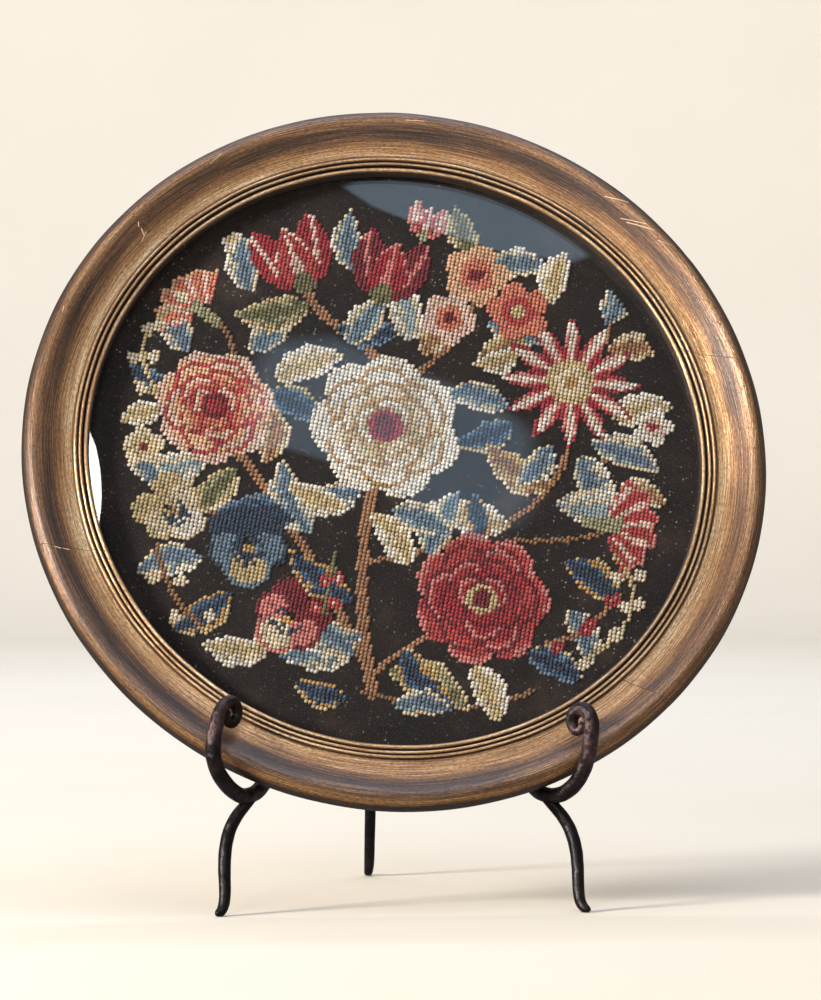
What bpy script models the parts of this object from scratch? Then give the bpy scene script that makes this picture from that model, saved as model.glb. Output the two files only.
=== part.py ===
"""A round framed panel of Berlin woolwork that leans on a wrought-iron easel.

Units are metres and +Z is up. The picture faces -Y. The panel is built flat in its own axes,
x to the right, y up the panel and z out of its face, with z = 0 at the back of the frame, and is
then leaned back and set on the easel. The origin ends up on the floor, under the middle of the
whole thing.
"""

import math

import bmesh
import bpy
from mathutils import Matrix, Vector

MM = 0.001
GAP = 0.3 * MM

# The panel: a round frame with a rabbet that holds the glass, the worked cloth and the back board
FRAME_RADIUS = 195 * MM
SIGHT_RADIUS = 160 * MM
RABBET_RADIUS = 165 * MM
BACK_RADIUS = 187 * MM
RABBET_DEPTH = 9.5 * MM
FRAME_RISE = 22.5 * MM
GLASS_THICKNESS = 2.0 * MM
CLOTH_THICKNESS = 2.0 * MM
BOARD_THICKNESS = 2.8 * MM
LEAN = math.radians(20.7)
ROLL = math.radians(12.2)
PANEL_HEIGHT = 228.9 * MM
PANEL_Y = 10.8 * MM
ARC_STEP = math.radians(4.5)
DISC_SIDES = 96

# Where the four arcs of the frame are glued, in degrees counter-clockwise from the panel's right
FRAME_JOINTS = {"right": -35.3, "top": 30.7, "left": 144.2, "bottom": 207.7}

# The easel, which stands a little to the left of the panel's middle. The arms pass under the rim
# at the saddles, in upright planes turned out from the middle. ARM_TOP is out from the middle and
# up the panel's slope, and each other UP is up that slope from the panel's middle.
EASEL_X = -4 * MM
SADDLE_OUT = 80 * MM
SADDLE_Y = -60 * MM
ARM_TURN = math.radians(42)
ARM_RADIUS = 4.0 * MM
LEG_RADIUS = 3.3 * MM
BACK_LEG_RADIUS = 3.1 * MM
BRACE_RADIUS = 3.0 * MM
HEAD_RADIUS = 11 * MM
HEAD_THICKNESS = 7 * MM
HEAD_ROUNDING = 1.5 * MM
HEAD_UP = 42 * MM
ARM_TOP = (5.4 * MM, 31.85 * MM)
ARM_FOOT_UP = -150 * MM
ARM_FOOT_REACH = -24.6 * MM
ARM_BEHIND = 4.3 * MM
BRACE_UP = -118 * MM
BRACE_HALF = 47.95 * MM
BAR_RESOLUTION = 3
SPAN_STEPS = 3

# Each arm in its own upright plane, in mm: how far it reaches out and forward of the saddle, how
# high it is above the floor, and how thick it is against the full bar. Behind the saddle both
# arms are alike, and in front each one was bent and scrolled by hand.
ARM_BACK = [(-21.6, 71.0, 1.0), (-18.7, 65.0, 1.0), (-13.5, 60.1, 1.0), (-6.5, 57.7, 1.0)]
SADDLE_LIFT = {"left": 1.2, "right": 0.0}
ARM_FRONT = {
    "left": [
        (0.5, 59.0, 1.0), (7.4, 61.8, 1.0), (14.8, 67.0, 1.0), (20.6, 73.8, 1.0), (23.4, 81.5, 1.0),
        (23.0, 89.0, 0.99), (20.8, 96.0, 0.97), (17.0, 102.6, 0.94), (12.4, 106.4, 0.9),
        (7.2, 106.8, 0.86), (3.4, 103.2, 0.8), (3.8, 98.2, 0.72), (7.0, 95.4, 0.6),
    ],
    "right": [
        (0.5, 58.0, 1.0), (6.7, 60.4, 1.0), (12.8, 65.2, 1.0), (17.2, 71.4, 1.0), (20.0, 77.6, 1.0),
        (21.6, 84.0, 0.98), (22.6, 90.6, 0.96), (22.6, 96.4, 0.92), (20.0, 101.0, 0.86),
        (15.2, 102.2, 0.8), (11.0, 99.0, 0.72), (10.4, 94.2, 0.62), (13.4, 90.8, 0.56),
        (17.0, 92.0, 0.5),
    ],
}

# A front leg, in mm: out from the easel's middle, forward, up, and thickness against the full bar
LEG_ROWS = [
    (79.3, 57.1, 51.8, 0.92), (83.0, 58.6, 47.2, 0.96), (86.6, 61.0, 40.6, 1.0), (88.8, 64.6, 32.2, 1.0),
    (89.5, 68.0, 22.0, 0.97), (89.4, 70.6, 12.6, 0.93), (89.9, 72.8, 6.4, 0.88), (91.6, 75.2, 2.5, 0.78),
    (94.6, 78.0, 1.3, 0.62),
]

# The third leg, in mm: back, up and thickness, from behind the boss to its toe
BACK_LEG_ROWS = [
    (33.25, 265.2, 0.9), (38.2, 263.0, 0.9), (43.4, 256.5, 0.95), (51.0, 236.0, 1.0), (67.0, 184.0, 1.0),
    (86.0, 118.0, 1.0), (102.0, 56.0, 1.0), (109.5, 22.0, 0.96), (112.6, 8.6, 0.9), (117.0, 2.6, 0.8),
    (123.5, 1.5, 0.64),
]


def clear_scene():
    """Removes whatever the scene starts with."""
    for thing in list(bpy.data.objects):
        bpy.data.objects.remove(thing, do_unlink=True)


def new_collection(name):
    """A collection linked to the scene."""
    collection = bpy.data.collections.new(name)
    bpy.context.scene.collection.children.link(collection)
    return collection


def new_material(name, color, roughness, metallic=0.0, alpha=1.0):
    """A plain Principled material."""
    material = bpy.data.materials.new(name)
    material.use_nodes = True
    shader = material.node_tree.nodes["Principled BSDF"]
    shader.inputs["Base Color"].default_value = (*color, 1.0)
    shader.inputs["Roughness"].default_value = roughness
    shader.inputs["Metallic"].default_value = metallic
    shader.inputs["Alpha"].default_value = alpha
    return material


def new_object(name, data, collection, material, parent=None):
    """An object for this data, linked to its collection."""
    thing = bpy.data.objects.new(name, data)
    collection.objects.link(thing)
    if material:
        data.materials.append(material)
    thing.parent = parent
    return thing


def finish_mesh(mesh, smooth_angle=40):
    """Shades a mesh smooth but for the edges sharper than the angle, in degrees."""
    mesh.shade_smooth()
    mesh.set_sharp_from_angle(angle=math.radians(smooth_angle))


def ellipse_arc(centre, wide, tall, start, end, steps):
    """Points on an ellipse round centre, from the start angle to the end angle in degrees."""
    angles = [math.radians(start + (end - start) * i / steps) for i in range(steps + 1)]
    return [(centre[0] + wide * math.cos(a), centre[1] + tall * math.sin(a)) for a in angles]


def bezier(points, steps):
    """Points on a cubic curve, without its first and last one."""
    found = []
    for i in range(1, steps):
        t = i / steps
        weights = ((1 - t) ** 3, 3 * t * (1 - t) ** 2, 3 * t * t * (1 - t), t ** 3)
        found.append(tuple(sum(w * p[axis] for w, p in zip(weights, points)) for axis in (0, 1)))
    return found


def moulding_section():
    """The closed section of the frame as (radius, height) in mm, from the back over the face.

    A rounded nose rises to the crest, and a hollow cove falls from it to a broad shoulder. Then
    come a bead, a groove, a small bead, a shallow hollow and the bead at the sight edge, whose lip
    holds the glass in the rabbet behind it.
    """
    outer, sight = FRAME_RADIUS / MM, SIGHT_RADIUS / MM
    nose_wide, nose_tall = 6.2, 8.5
    nose = (outer - nose_wide, FRAME_RISE / MM - nose_tall)
    crest = ellipse_arc(nose, nose_wide, nose_tall, -38, 125, 9)
    cove_foot = (outer - 17.5, 15.4)
    shoulder_end = (outer - 26.9, 13.8)
    cove = bezier([crest[-1], (outer - 12.8, 18.1), (outer - 14.5, 15.4), cove_foot], 4)
    shoulder = bezier([cove_foot, (outer - 21, 15.4), (outer - 25.5, 17.6), shoulder_end], 5)
    first_bead = ellipse_arc((sight + 6.45, 12.3), 1.0, 1.0, -10, 190, 4)
    groove = [(sight + 5.1, 10.7), (sight + 4.4, 10.7)]
    second_bead = ellipse_arc((sight + 3.4, 11.4), 0.7, 0.7, 10, 170, 3)
    sight_bead = ellipse_arc((sight + 1.3, 10.9), 0.85, 0.8, 30, 170, 3)
    hollow = [(sight + 2.35, 11.1)]
    lip = [(sight, 10.2), (sight, RABBET_DEPTH / MM)]
    rabbet = [(RABBET_RADIUS / MM, RABBET_DEPTH / MM), (RABBET_RADIUS / MM, 0)]
    return (
        [(BACK_RADIUS / MM, 0), *crest, *cove, cove_foot, *shoulder, shoulder_end, *first_bead]
        + [*groove, *second_bead, *hollow, *sight_bead, *lip, *rabbet]
    )


def frame_arc(name, start, end, collection, material, parent):
    """One glued-up arc of the frame: the section spun from start to end, in radians."""
    mesh = bpy.data.meshes.new(name)
    bm = bmesh.new()
    half_gap = GAP / 2 / SIGHT_RADIUS
    turn = Matrix.Rotation(start + half_gap, 4, "Z")
    ring = [bm.verts.new(turn @ Vector((r * MM, 0, h * MM))) for r, h in moulding_section()]
    edges = [bm.edges.new(pair) for pair in zip(ring, ring[1:] + ring[:1])]
    span = end - start - 2 * half_gap
    steps = round(span / ARC_STEP)
    bmesh.ops.spin(bm, geom=ring + edges, cent=(0, 0, 0), axis=(0, 0, 1), steps=steps, angle=span)
    bmesh.ops.edgeloop_fill(bm, edges=[edge for edge in bm.edges if edge.is_boundary])
    bmesh.ops.recalc_face_normals(bm, faces=bm.faces)
    bm.to_mesh(mesh)
    bm.free()
    finish_mesh(mesh)
    return new_object(name, mesh, collection, material, parent)


def disc(name, radius, low, thickness, collection, material, parent):
    """A flat round sheet in the rabbet, with its back at height low."""
    mesh = bpy.data.meshes.new(name)
    bm = bmesh.new()
    place = Matrix.Translation((0, 0, low + thickness / 2))
    bmesh.ops.create_cone(
        bm, cap_ends=True, segments=DISC_SIDES, radius1=radius, radius2=radius, depth=thickness,
        matrix=place,
    )
    bm.to_mesh(mesh)
    bm.free()
    finish_mesh(mesh)
    return new_object(name, mesh, collection, material, parent)


def smooth_path(rows):
    """Points of a Catmull-Rom curve through rows, which may hold the thickness as a last value."""
    ends = [2 * rows[0] - rows[1], *rows, 2 * rows[-1] - rows[-2]]
    path = []
    for a, b, c, d in zip(ends, ends[1:], ends[2:], ends[3:]):
        for i in range(SPAN_STEPS):
            t = i / SPAN_STEPS
            path.append(
                b
                + (c - a) * (t / 2)
                + (2 * a - 5 * b + 4 * c - d) * (t * t / 2)
                + (3 * b - a - 3 * c + d) * (t ** 3 / 2)
            )
    return path + [rows[-1]]


def forged_bar(name, path, radius, collection, material, parent, floor_cutter=None):
    """A round bar along path, whose points hold x, y, z and thickness, with its toe ground flat."""
    curve = bpy.data.curves.new(name, "CURVE")
    curve.dimensions = "3D"
    curve.bevel_depth = radius
    curve.bevel_resolution = BAR_RESOLUTION
    curve.use_fill_caps = True
    spline = curve.splines.new("POLY")
    spline.points.add(len(path) - 1)
    for point, (x, y, z, thickness) in zip(spline.points, path):
        point.co = (x, y, z, 1)
        point.radius = thickness
    guide = new_object(name + "_guide", curve, collection, None, parent)
    bpy.context.view_layer.update()
    mesh = bpy.data.meshes.new_from_object(guide.evaluated_get(bpy.context.evaluated_depsgraph_get()))
    bpy.data.objects.remove(guide, do_unlink=True)
    mesh.name = name
    bm = bmesh.new()
    bm.from_mesh(mesh)
    bmesh.ops.remove_doubles(bm, verts=bm.verts, dist=0.01 * MM)
    bmesh.ops.recalc_face_normals(bm, faces=bm.faces)
    bm.to_mesh(mesh)
    bm.free()
    finish_mesh(mesh)
    bar = new_object(name, mesh, collection, material, parent)
    if floor_cutter:
        cut = bar.modifiers.new("flat toe", "BOOLEAN")
        cut.object = floor_cutter
        cut.operation = "DIFFERENCE"
        cut.solver = "EXACT"


def on_back(x, up, behind):
    """A point in the world, x from the easel's middle, up the panel's slope and behind its back."""
    y = up * math.sin(LEAN) + behind * math.cos(LEAN)
    z = up * math.cos(LEAN) - behind * math.sin(LEAN)
    return Vector((EASEL_X + x, PANEL_Y + y, PANEL_HEIGHT + z))


def arm_path(side):
    """From the boss down the back of the frame, under the rim and up in front to the scroll."""
    out = -1 if side == "left" else 1
    back = [(reach, up + SADDLE_LIFT[side], thickness) for reach, up, thickness in ARM_BACK]
    bends = []
    for reach, up, thickness in back + ARM_FRONT[side]:
        x = EASEL_X + out * (SADDLE_OUT + reach * MM * math.sin(ARM_TURN))
        y = SADDLE_Y - reach * MM * math.cos(ARM_TURN)
        bends.append(Vector((x, y, up * MM, thickness)))
    top_out, top_up = ARM_TOP
    foot_out = SADDLE_OUT + ARM_FOOT_REACH * math.sin(ARM_TURN)
    straight = []
    for share in (0.0, 0.34, 0.67, 1.0):
        x = top_out + share * (foot_out - top_out)
        up = top_up + share * (ARM_FOOT_UP - top_up)
        straight.append(Vector((*on_back(out * x, up, ARM_BEHIND), 1.0)))
    return smooth_path(straight + bends)


def leg_path(side):
    """From under the arm's saddle down and outward to the toe."""
    out = -1 if side == "left" else 1
    taller = 1 + SADDLE_LIFT[side] / LEG_ROWS[0][2]
    rows = [Vector((EASEL_X + out * x * MM, -y * MM, z * taller * MM, t)) for x, y, z, t in LEG_ROWS]
    return smooth_path(rows)


def brace_path():
    """Level between the two arms, behind the frame."""
    ends = [on_back(side * BRACE_HALF, BRACE_UP, ARM_BEHIND) for side in (-1, 0, 1)]
    return [Vector((*end, 1.0)) for end in ends]


def back_leg_path():
    """From the boss backward and down to the toe."""
    return smooth_path([Vector((EASEL_X, y * MM, z * MM, t)) for y, z, t in BACK_LEG_ROWS])


def build_panel(parts, root):
    """The four arcs of the frame, the glass, the cloth and the board, leaned back and rolled."""
    gilt = new_material("gilded wood", (0.36, 0.22, 0.1), 0.42, 0.55)
    glass = new_material("window glass", (0.9, 0.95, 0.95), 0.03, alpha=0.2)
    cloth = new_material("black wool ground", (0.012, 0.011, 0.012), 0.95)
    board = new_material("pine board", (0.42, 0.29, 0.17), 0.7)
    seat = bpy.data.objects.new("panel_seat", None)
    parts.objects.link(seat)
    seat.parent = root
    seat.location = (0, PANEL_Y, PANEL_HEIGHT)
    seat.rotation_mode = "ZYX"
    seat.rotation_euler = (math.pi / 2 - LEAN, 0, -ROLL)
    names = list(FRAME_JOINTS)
    for name, after in zip(names, names[1:] + names[:1]):
        start = math.radians(FRAME_JOINTS[name])
        end = math.radians(FRAME_JOINTS[after])
        if end < start:
            end += 2 * math.pi
        frame_arc("frame_" + name, start, end, parts, gilt, seat)
    inner = RABBET_RADIUS * math.cos(ARC_STEP / 2) - GAP
    glass_low = RABBET_DEPTH - GAP - GLASS_THICKNESS
    cloth_low = BOARD_THICKNESS + 3 * GAP
    disc("glass_pane", inner, glass_low, GLASS_THICKNESS, parts, glass, seat)
    disc("worked_cloth", inner, cloth_low, CLOTH_THICKNESS, parts, cloth, seat)
    disc("back_board", inner, cloth_low - GAP - BOARD_THICKNESS, BOARD_THICKNESS, parts, board, seat)


def build_head(parts, material, root):
    """The boss where the arms meet: a thick forged disc with rounded rims, parallel to the panel."""
    mesh = bpy.data.meshes.new("easel_head")
    bm = bmesh.new()
    bmesh.ops.create_cone(
        bm, cap_ends=True, segments=24, radius1=HEAD_RADIUS, radius2=HEAD_RADIUS, depth=HEAD_THICKNESS
    )
    bm.to_mesh(mesh)
    bm.free()
    head = new_object("easel_head", mesh, parts, material, root)
    head.location = on_back(0, HEAD_UP, ARM_BEHIND)
    head.rotation_euler = (math.pi / 2 - LEAN, 0, 0)
    rim = head.modifiers.new("rounded rim", "BEVEL")
    rim.width = HEAD_ROUNDING
    rim.segments = 2


def build_easel(parts, cutters, root):
    """The iron bars and the boss. A large block under the floor grinds the toes flat."""
    iron = new_material("wrought iron", (0.035, 0.026, 0.024), 0.45, 0.6)
    mesh = bpy.data.meshes.new("floor_cutter")
    bm = bmesh.new()
    bmesh.ops.create_cube(bm, size=1.0, matrix=Matrix.Translation((0, 0, -0.5)))
    bm.to_mesh(mesh)
    bm.free()
    floor = new_object("floor_cutter", mesh, cutters, None)
    floor.hide_render = True
    floor.display_type = "WIRE"
    for side in ("left", "right"):
        forged_bar("easel_arm_" + side, arm_path(side), ARM_RADIUS, parts, iron, root)
        forged_bar("easel_leg_" + side, leg_path(side), LEG_RADIUS, parts, iron, root, floor)
    forged_bar("easel_brace", brace_path(), BRACE_RADIUS, parts, iron, root)
    forged_bar("easel_back_leg", back_leg_path(), BACK_LEG_RADIUS, parts, iron, root, floor)
    build_head(parts, iron, root)


def stand_over_origin(parts, root):
    """Slides everything level, so that the box of all parts is centred over the origin."""
    bpy.context.view_layer.update()
    depsgraph = bpy.context.evaluated_depsgraph_get()
    corners = []
    for thing in parts.objects:
        if thing.type == "MESH":
            shape = thing.evaluated_get(depsgraph)
            corners += [shape.matrix_world @ vert.co for vert in shape.data.vertices]
    for axis in (0, 1):
        reach = [corner[axis] for corner in corners]
        root.location[axis] -= (min(reach) + max(reach)) / 2


def main():
    """Builds the panel and its easel."""
    clear_scene()
    parts = new_collection("framed_woolwork_panel")
    cutters = new_collection("cutters")
    root = bpy.data.objects.new("whole_object", None)
    parts.objects.link(root)
    build_panel(parts, root)
    build_easel(parts, cutters, root)
    stand_over_origin(parts, root)


main()
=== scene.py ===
"""The looks of a round framed panel of Berlin woolwork that leans on a wrought-iron easel.

The panel has axes of its own: x to the right, y up the panel and z out of its face, in millimetres,
with z = 0 at the back of the frame. on_panel() puts such points into the frame's metres.
"""

import math

import bpy
import numpy as np
from mathutils import Matrix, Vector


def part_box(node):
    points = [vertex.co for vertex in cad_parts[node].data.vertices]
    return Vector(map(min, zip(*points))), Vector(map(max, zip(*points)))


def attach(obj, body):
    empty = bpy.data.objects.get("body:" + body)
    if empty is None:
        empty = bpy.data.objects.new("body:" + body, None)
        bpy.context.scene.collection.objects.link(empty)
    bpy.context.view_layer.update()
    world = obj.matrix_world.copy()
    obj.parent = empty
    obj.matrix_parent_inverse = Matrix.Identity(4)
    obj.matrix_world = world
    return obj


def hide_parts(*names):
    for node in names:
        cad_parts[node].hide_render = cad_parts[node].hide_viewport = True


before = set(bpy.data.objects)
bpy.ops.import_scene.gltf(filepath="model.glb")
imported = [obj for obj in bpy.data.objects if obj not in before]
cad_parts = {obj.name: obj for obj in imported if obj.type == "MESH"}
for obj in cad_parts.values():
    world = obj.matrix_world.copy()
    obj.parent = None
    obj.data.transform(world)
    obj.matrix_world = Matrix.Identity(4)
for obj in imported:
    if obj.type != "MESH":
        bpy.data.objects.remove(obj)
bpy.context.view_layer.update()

MM = 0.001
BODY = "root"

# The frame, as built
FRAME_RADIUS = 195.0
SIGHT_RADIUS = 160.0
RABBET_RADIUS = 165.0
BACK_RADIUS = 187.0
RABBET_DEPTH = 9.5
FRAME_RISE = 22.5
GAP = 0.3
LEAN = math.radians(20.7)
ROLL = math.radians(12.2)
GLASS_MIDDLE = 8.2
# Where each arc starts, in degrees: at the outer rim and, as the cuts aren't square, at the sight edge
FRAME_JOINTS = {
    "right": (-33.6, -37.3), "top": (26.1, 33.0), "left": (149.4, 145.1), "bottom": (208.2, 212.6),
}
# How many times each arc's section is drawn, mm along the rim for a degree, and how far the old gesso
# is out of true
ARC_STEPS = {"right": 150, "top": 270, "left": 150, "bottom": 270}
RIM_DEGREE = 3.4
UNEVEN = 0.13
# How many of the section's last faces are bare wood, and how many points lead from its nose to its
# second bead
BARE_FACES = 4
FACE_POINTS = 60
# The radius on which the finish is laid out flat, past which its pits grow strong, and where it is
# polished most
FINISH_RADIUS = 180.0
PITS_RADIUS = 183.0
POLISH_RADIUS = 187.2

# The cloth under the glass, which lies flatter over the strip where it is held, and its canvas
CLOTH_RADIUS = 164.5
CLOTH_BACK = 3.75
CLOTH_FACE = 5.0
CLOTH_HELD = 12.0
CLOTH_GRID = 120
RELIEF = 0.55
PITCH = 2.11
WORKED_RADIUS = 153.0


def turned(axis, angle):
    """The 3 by 3 turn by angle about x, where axis is 0, or about z, where it is 2."""
    c, s = math.cos(angle), math.sin(angle)
    if axis == 0:
        return np.array([[1, 0, 0], [0, c, -s], [0, s, c]])
    return np.array([[c, -s, 0], [s, c, 0], [0, 0, 1]])


LEAN_TURN = turned(0, math.pi / 2 - LEAN)
PANEL_TURN = LEAN_TURN @ turned(2, -ROLL)
FACE = PANEL_TURN[:, 2]
GLASS_BOX = [np.array(corner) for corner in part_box("glass_pane")]
PANEL_ORIGIN = sum(GLASS_BOX) / 2 - GLASS_MIDDLE * MM * FACE


def on_panel(points):
    """Points in the panel's own millimetres, turned and moved into the frame's metres."""
    return np.asarray(points, float) * MM @ PANEL_TURN.T + PANEL_ORIGIN


def linear(hex_color):
    """The linear RGB of an sRGB hex colour."""
    parts = np.array([int(hex_color[i:i + 2], 16) for i in (1, 3, 5)]) / 255
    return np.where(parts <= 0.04045, parts / 12.92, ((parts + 0.055) / 1.055) ** 2.4)


def paint(hex_color):
    """The linear colour of an sRGB hex colour with full alpha, as a socket takes it."""
    return (*linear(hex_color), 1.0)


def ripple(x, y, seed, spans=(11, 17, 29)):
    """Smooth unevenness from -1 to 1: crossed waves of these spans, turned and started by the seed."""
    rng = np.random.default_rng(seed)
    total = np.zeros(np.broadcast(x, y).shape)
    for span in spans:
        angle, start = rng.uniform(0, math.pi), rng.uniform(0, 2 * math.pi)
        total += np.sin((x * math.cos(angle) + y * math.sin(angle)) * 2 * math.pi / span + start)
    return total / len(spans)


def length_along(points):
    """How far along the line each of its points lies."""
    return np.concatenate([[0], np.cumsum(np.linalg.norm(np.diff(points, axis=0), axis=1))])


def around(sides):
    """This many angles, evenly round the circle."""
    return 2 * math.pi * np.arange(sides) / sides


# Nodes and meshes

def add(tree, kind, feeds=(), out=0, stops=(), **settings):
    """Adds a shader node. feeds links or fills its inputs, stops fills its ramp, out picks an output."""
    node = tree.nodes.new("ShaderNode" + kind)
    for name, value in settings.items():
        setattr(node, name, value)
    for key, value in dict(feeds).items():
        if isinstance(value, bpy.types.NodeSocket):
            tree.links.new(value, node.inputs[key])
        else:
            node.inputs[key].default_value = value
    for i, (place, color) in enumerate(stops):
        ramp = node.color_ramp.elements
        stop = ramp[i] if i < 2 else ramp.new(place)
        stop.position = place
        stop.color = paint(color) if isinstance(color, str) else (color, color, color, 1)
    return node.outputs[out]


def new_material(name, **values):
    """A material whose Principled shader has these values, and its node tree."""
    material = bpy.data.materials.new(name)
    material.use_nodes = True
    shader = material.node_tree.nodes["Principled BSDF"]
    for key, value in values.items():
        shader.inputs[key.replace("_", " ")].default_value = value
    return material, material.node_tree


def dress(tree, feeds):
    """Links these sockets to the Principled shader's inputs."""
    for key, socket in feeds.items():
        tree.links.new(socket, tree.nodes["Principled BSDF"].inputs[key])


def replace_shader(tree, shader):
    """Puts this shader in the Principled one's place."""
    tree.nodes.remove(tree.nodes["Principled BSDF"])
    tree.links.new(shader, tree.nodes["Material Output"].inputs["Surface"])


def shaded(tree, color, pattern, stops, share=1.0):
    """The colour multiplied, by this share, with the greys that the stops give the pattern."""
    grey = add(tree, "ValToRGB", {0: pattern}, stops=stops)
    return add(tree, "MixRGB", {0: share, 1: color, 2: grey}, blend_type="MULTIPLY")


def specks(tree, spot, scale, size, picked):
    """1 on scattered specks: near the middle of those cells of a random pattern whose number is high.

    size holds the shares of a cell at which a speck's edge starts and ends, and picked the numbers
    between which a cell's speck grows from nothing to full strength.
    """
    cells = {"Vector": spot, "Scale": scale, "Randomness": 1.0}
    near = add(tree, "MapRange", {0: add(tree, "TexVoronoi", cells), 1: size[0], 2: size[1]})
    number = add(tree, "SeparateColor", {0: add(tree, "TexVoronoi", cells, out=1)})
    strong = add(tree, "MapRange", {0: number, 1: picked[0], 2: picked[1]})
    return add(tree, "Math", {0: near, 1: strong}, operation="MULTIPLY")


def new_piece(name, points, groups, materials, smooth_angle=40):
    """A mesh object from points in metres and groups of faces, one row of corner numbers a face."""
    mesh = bpy.data.meshes.new(name)
    corners = np.concatenate([group.ravel() for group in groups]).astype(np.int32)
    sizes = np.concatenate([np.full(len(group), group.shape[1]) for group in groups])
    mesh.vertices.add(len(points))
    mesh.vertices.foreach_set("co", np.asarray(points, np.float32).ravel())
    mesh.loops.add(len(corners))
    mesh.loops.foreach_set("vertex_index", corners)
    mesh.polygons.add(len(sizes))
    mesh.polygons.foreach_set("loop_start", (np.cumsum(sizes) - sizes).astype(np.int32))
    mesh.update(calc_edges=True)
    mesh.shade_smooth()
    mesh.set_sharp_from_angle(angle=math.radians(smooth_angle))
    for material in materials:
        mesh.materials.append(material)
    piece = bpy.data.objects.new(name, mesh)
    bpy.context.scene.collection.objects.link(piece)
    return piece


def set_values(piece, name, values, kind="FLOAT"):
    """Keeps a value, or a colour, for each point of the piece's mesh."""
    attribute = piece.data.attributes.new(name, kind, "POINT")
    attribute.data.foreach_set("value" if kind == "FLOAT" else "color", values.astype(np.float32).ravel())


def set_uv(piece, name, uv):
    """Keeps a UV map that gives each point its own place in the pattern."""
    corners = np.empty(len(piece.data.loops), np.int32)
    piece.data.loops.foreach_get("vertex_index", corners)
    layer = piece.data.uv_layers.new(name=name)
    layer.uv.foreach_set("vector", uv[corners].astype(np.float32).ravel())


def grid_faces(rows, columns, wrap):
    """Quads between neighbours on a grid of points, closed round the columns where wrap is set."""
    i, j = np.meshgrid(np.arange(rows - 1), np.arange(columns if wrap else columns - 1), indexing="ij")
    here, beside = i * columns + j, i * columns + (j + 1) % columns
    return np.stack([here, here + columns, beside + columns, beside], -1).reshape(-1, 4)


def fan(ring, tip):
    """Triangles from each side of a closed ring of points to one more point."""
    return np.stack([ring, np.roll(ring, -1), np.full(len(ring), tip)], 1)


def spun(profile, sides, lobes=0.0):
    """A profile of (radius, height) turned about the upright axis, swollen into five lobes if told."""
    angle = around(sides)
    reach = profile[:, 0, None] * (1 + lobes * np.cos(5 * angle + 1))
    height = profile[:, 1, None] * np.ones(sides)
    return np.stack([reach * np.cos(angle), reach * np.sin(angle), height], -1).reshape(-1, 3)


def place(piece, slot, *nodes):
    """Makes a finished piece part of the object, in place of these nodes; the slot it is given is not used.
    """
    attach(piece, BODY)
    if nodes:
        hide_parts(*nodes)
    return piece


# The gilded frame

def arc(centre, wide, tall, start, end, steps):
    """Points on an ellipse round centre from start to end, in degrees."""
    angles = np.radians(np.linspace(start, end, steps + 1))
    return np.stack([centre[0] + wide * np.cos(angles), centre[1] + tall * np.sin(angles)], 1)


def curve(points, steps):
    """Points on a cubic curve, both ends included, drawn by these four control points."""
    t = np.linspace(0, 1, steps + 1)[:, None]
    a, b, c, d = (np.array(point, float) for point in points)
    return (1 - t) ** 3 * a + 3 * t * (1 - t) ** 2 * b + 3 * t ** 2 * (1 - t) * c + t ** 3 * d


def moulding():
    """The frame's section as (radius, height) in mm, closed, from the back's rim over the face.

    A rounded nose rises to the crest, and a long scoop falls from it and flattens. Then come three
    beads, lower toward the sight edge, with a sharp valley between each two.
    """
    crest = arc((FRAME_RADIUS - 6.2, FRAME_RISE - 8.5), 6.2, 8.5, -38, 108, 20)
    scoop_pulls = (FRAME_RADIUS - 12.6, 20.1), (FRAME_RADIUS - 19, 15.9)
    scoop_end = (SIGHT_RADIUS + 8.8, 15.9)
    return np.concatenate([
        curve([(BACK_RADIUS, 0), (BACK_RADIUS + 2.2, 3), (FRAME_RADIUS - 2.2, 7), crest[0]], 4)[:-1],
        crest,
        curve([crest[-1], *scoop_pulls, scoop_end], 26)[1:],
        arc((SIGHT_RADIUS + 7.45, 15.3), 1.3, 1.7, 15, 195, 9),
        [(SIGHT_RADIUS + 6.1, 14.1)],
        arc((SIGHT_RADIUS + 4.85, 14.7), 1.2, 1.6, -5, 195, 9),
        [(SIGHT_RADIUS + 3.5, 13.5)],
        arc((SIGHT_RADIUS + 1.85, 13.8), 1.5, 1.7, 0, 175, 9),
        [(SIGHT_RADIUS, 10.2), (SIGHT_RADIUS, RABBET_DEPTH)],
        [(RABBET_RADIUS, RABBET_DEPTH), (RABBET_RADIUS, 4.5), (RABBET_RADIUS, 0), (176, 0)],
    ])


# How thick the umber glaze lies, where 1 hides the metal and less than 0 is rubbed off, against the way
# in from the back's rim, told as a radius that counts on past the nose: 195 mm is the outermost line
# and 160 mm the sight edge. Besides the glaze in the hollows, it holds painted shade on the flanks of
# the beads, and their rubbed-off tops are partly wear and partly a painted highlight
GLAZE_AND_PAINTED_SHADING = [
    (160.1, 1.0), (160.4, 0.9), (160.8, 0.45), (161.2, 0.05), (161.7, -0.25), (162.2, 0.1), (162.7, 0.55),
    (163.2, 1.0), (163.8, 1.0), (164.1, 0.45), (164.4, 0.05), (164.8, -0.25), (165.2, 0.05), (165.55, 0.55),
    (165.85, 1.0), (166.3, 1.0), (166.6, 0.5), (167.0, 0.1), (167.4, -0.25), (167.8, 0.05), (168.1, 0.5),
    (168.4, 0.9), (168.8, 0.6), (169.3, 0.12), (170.2, 0.02), (173.0, 0.1), (175.0, 0.14), (177.0, 0.24),
    (179.0, 0.36), (181.0, 0.48), (183.0, 0.5), (185.0, 0.4), (186.8, 0.26), (188.4, 0.22),
    (190.2, 0.34), (191.2, 0.6), (193.0, 0.75), (195.0, 1.0), (203.0, 1.0),
]
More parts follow.
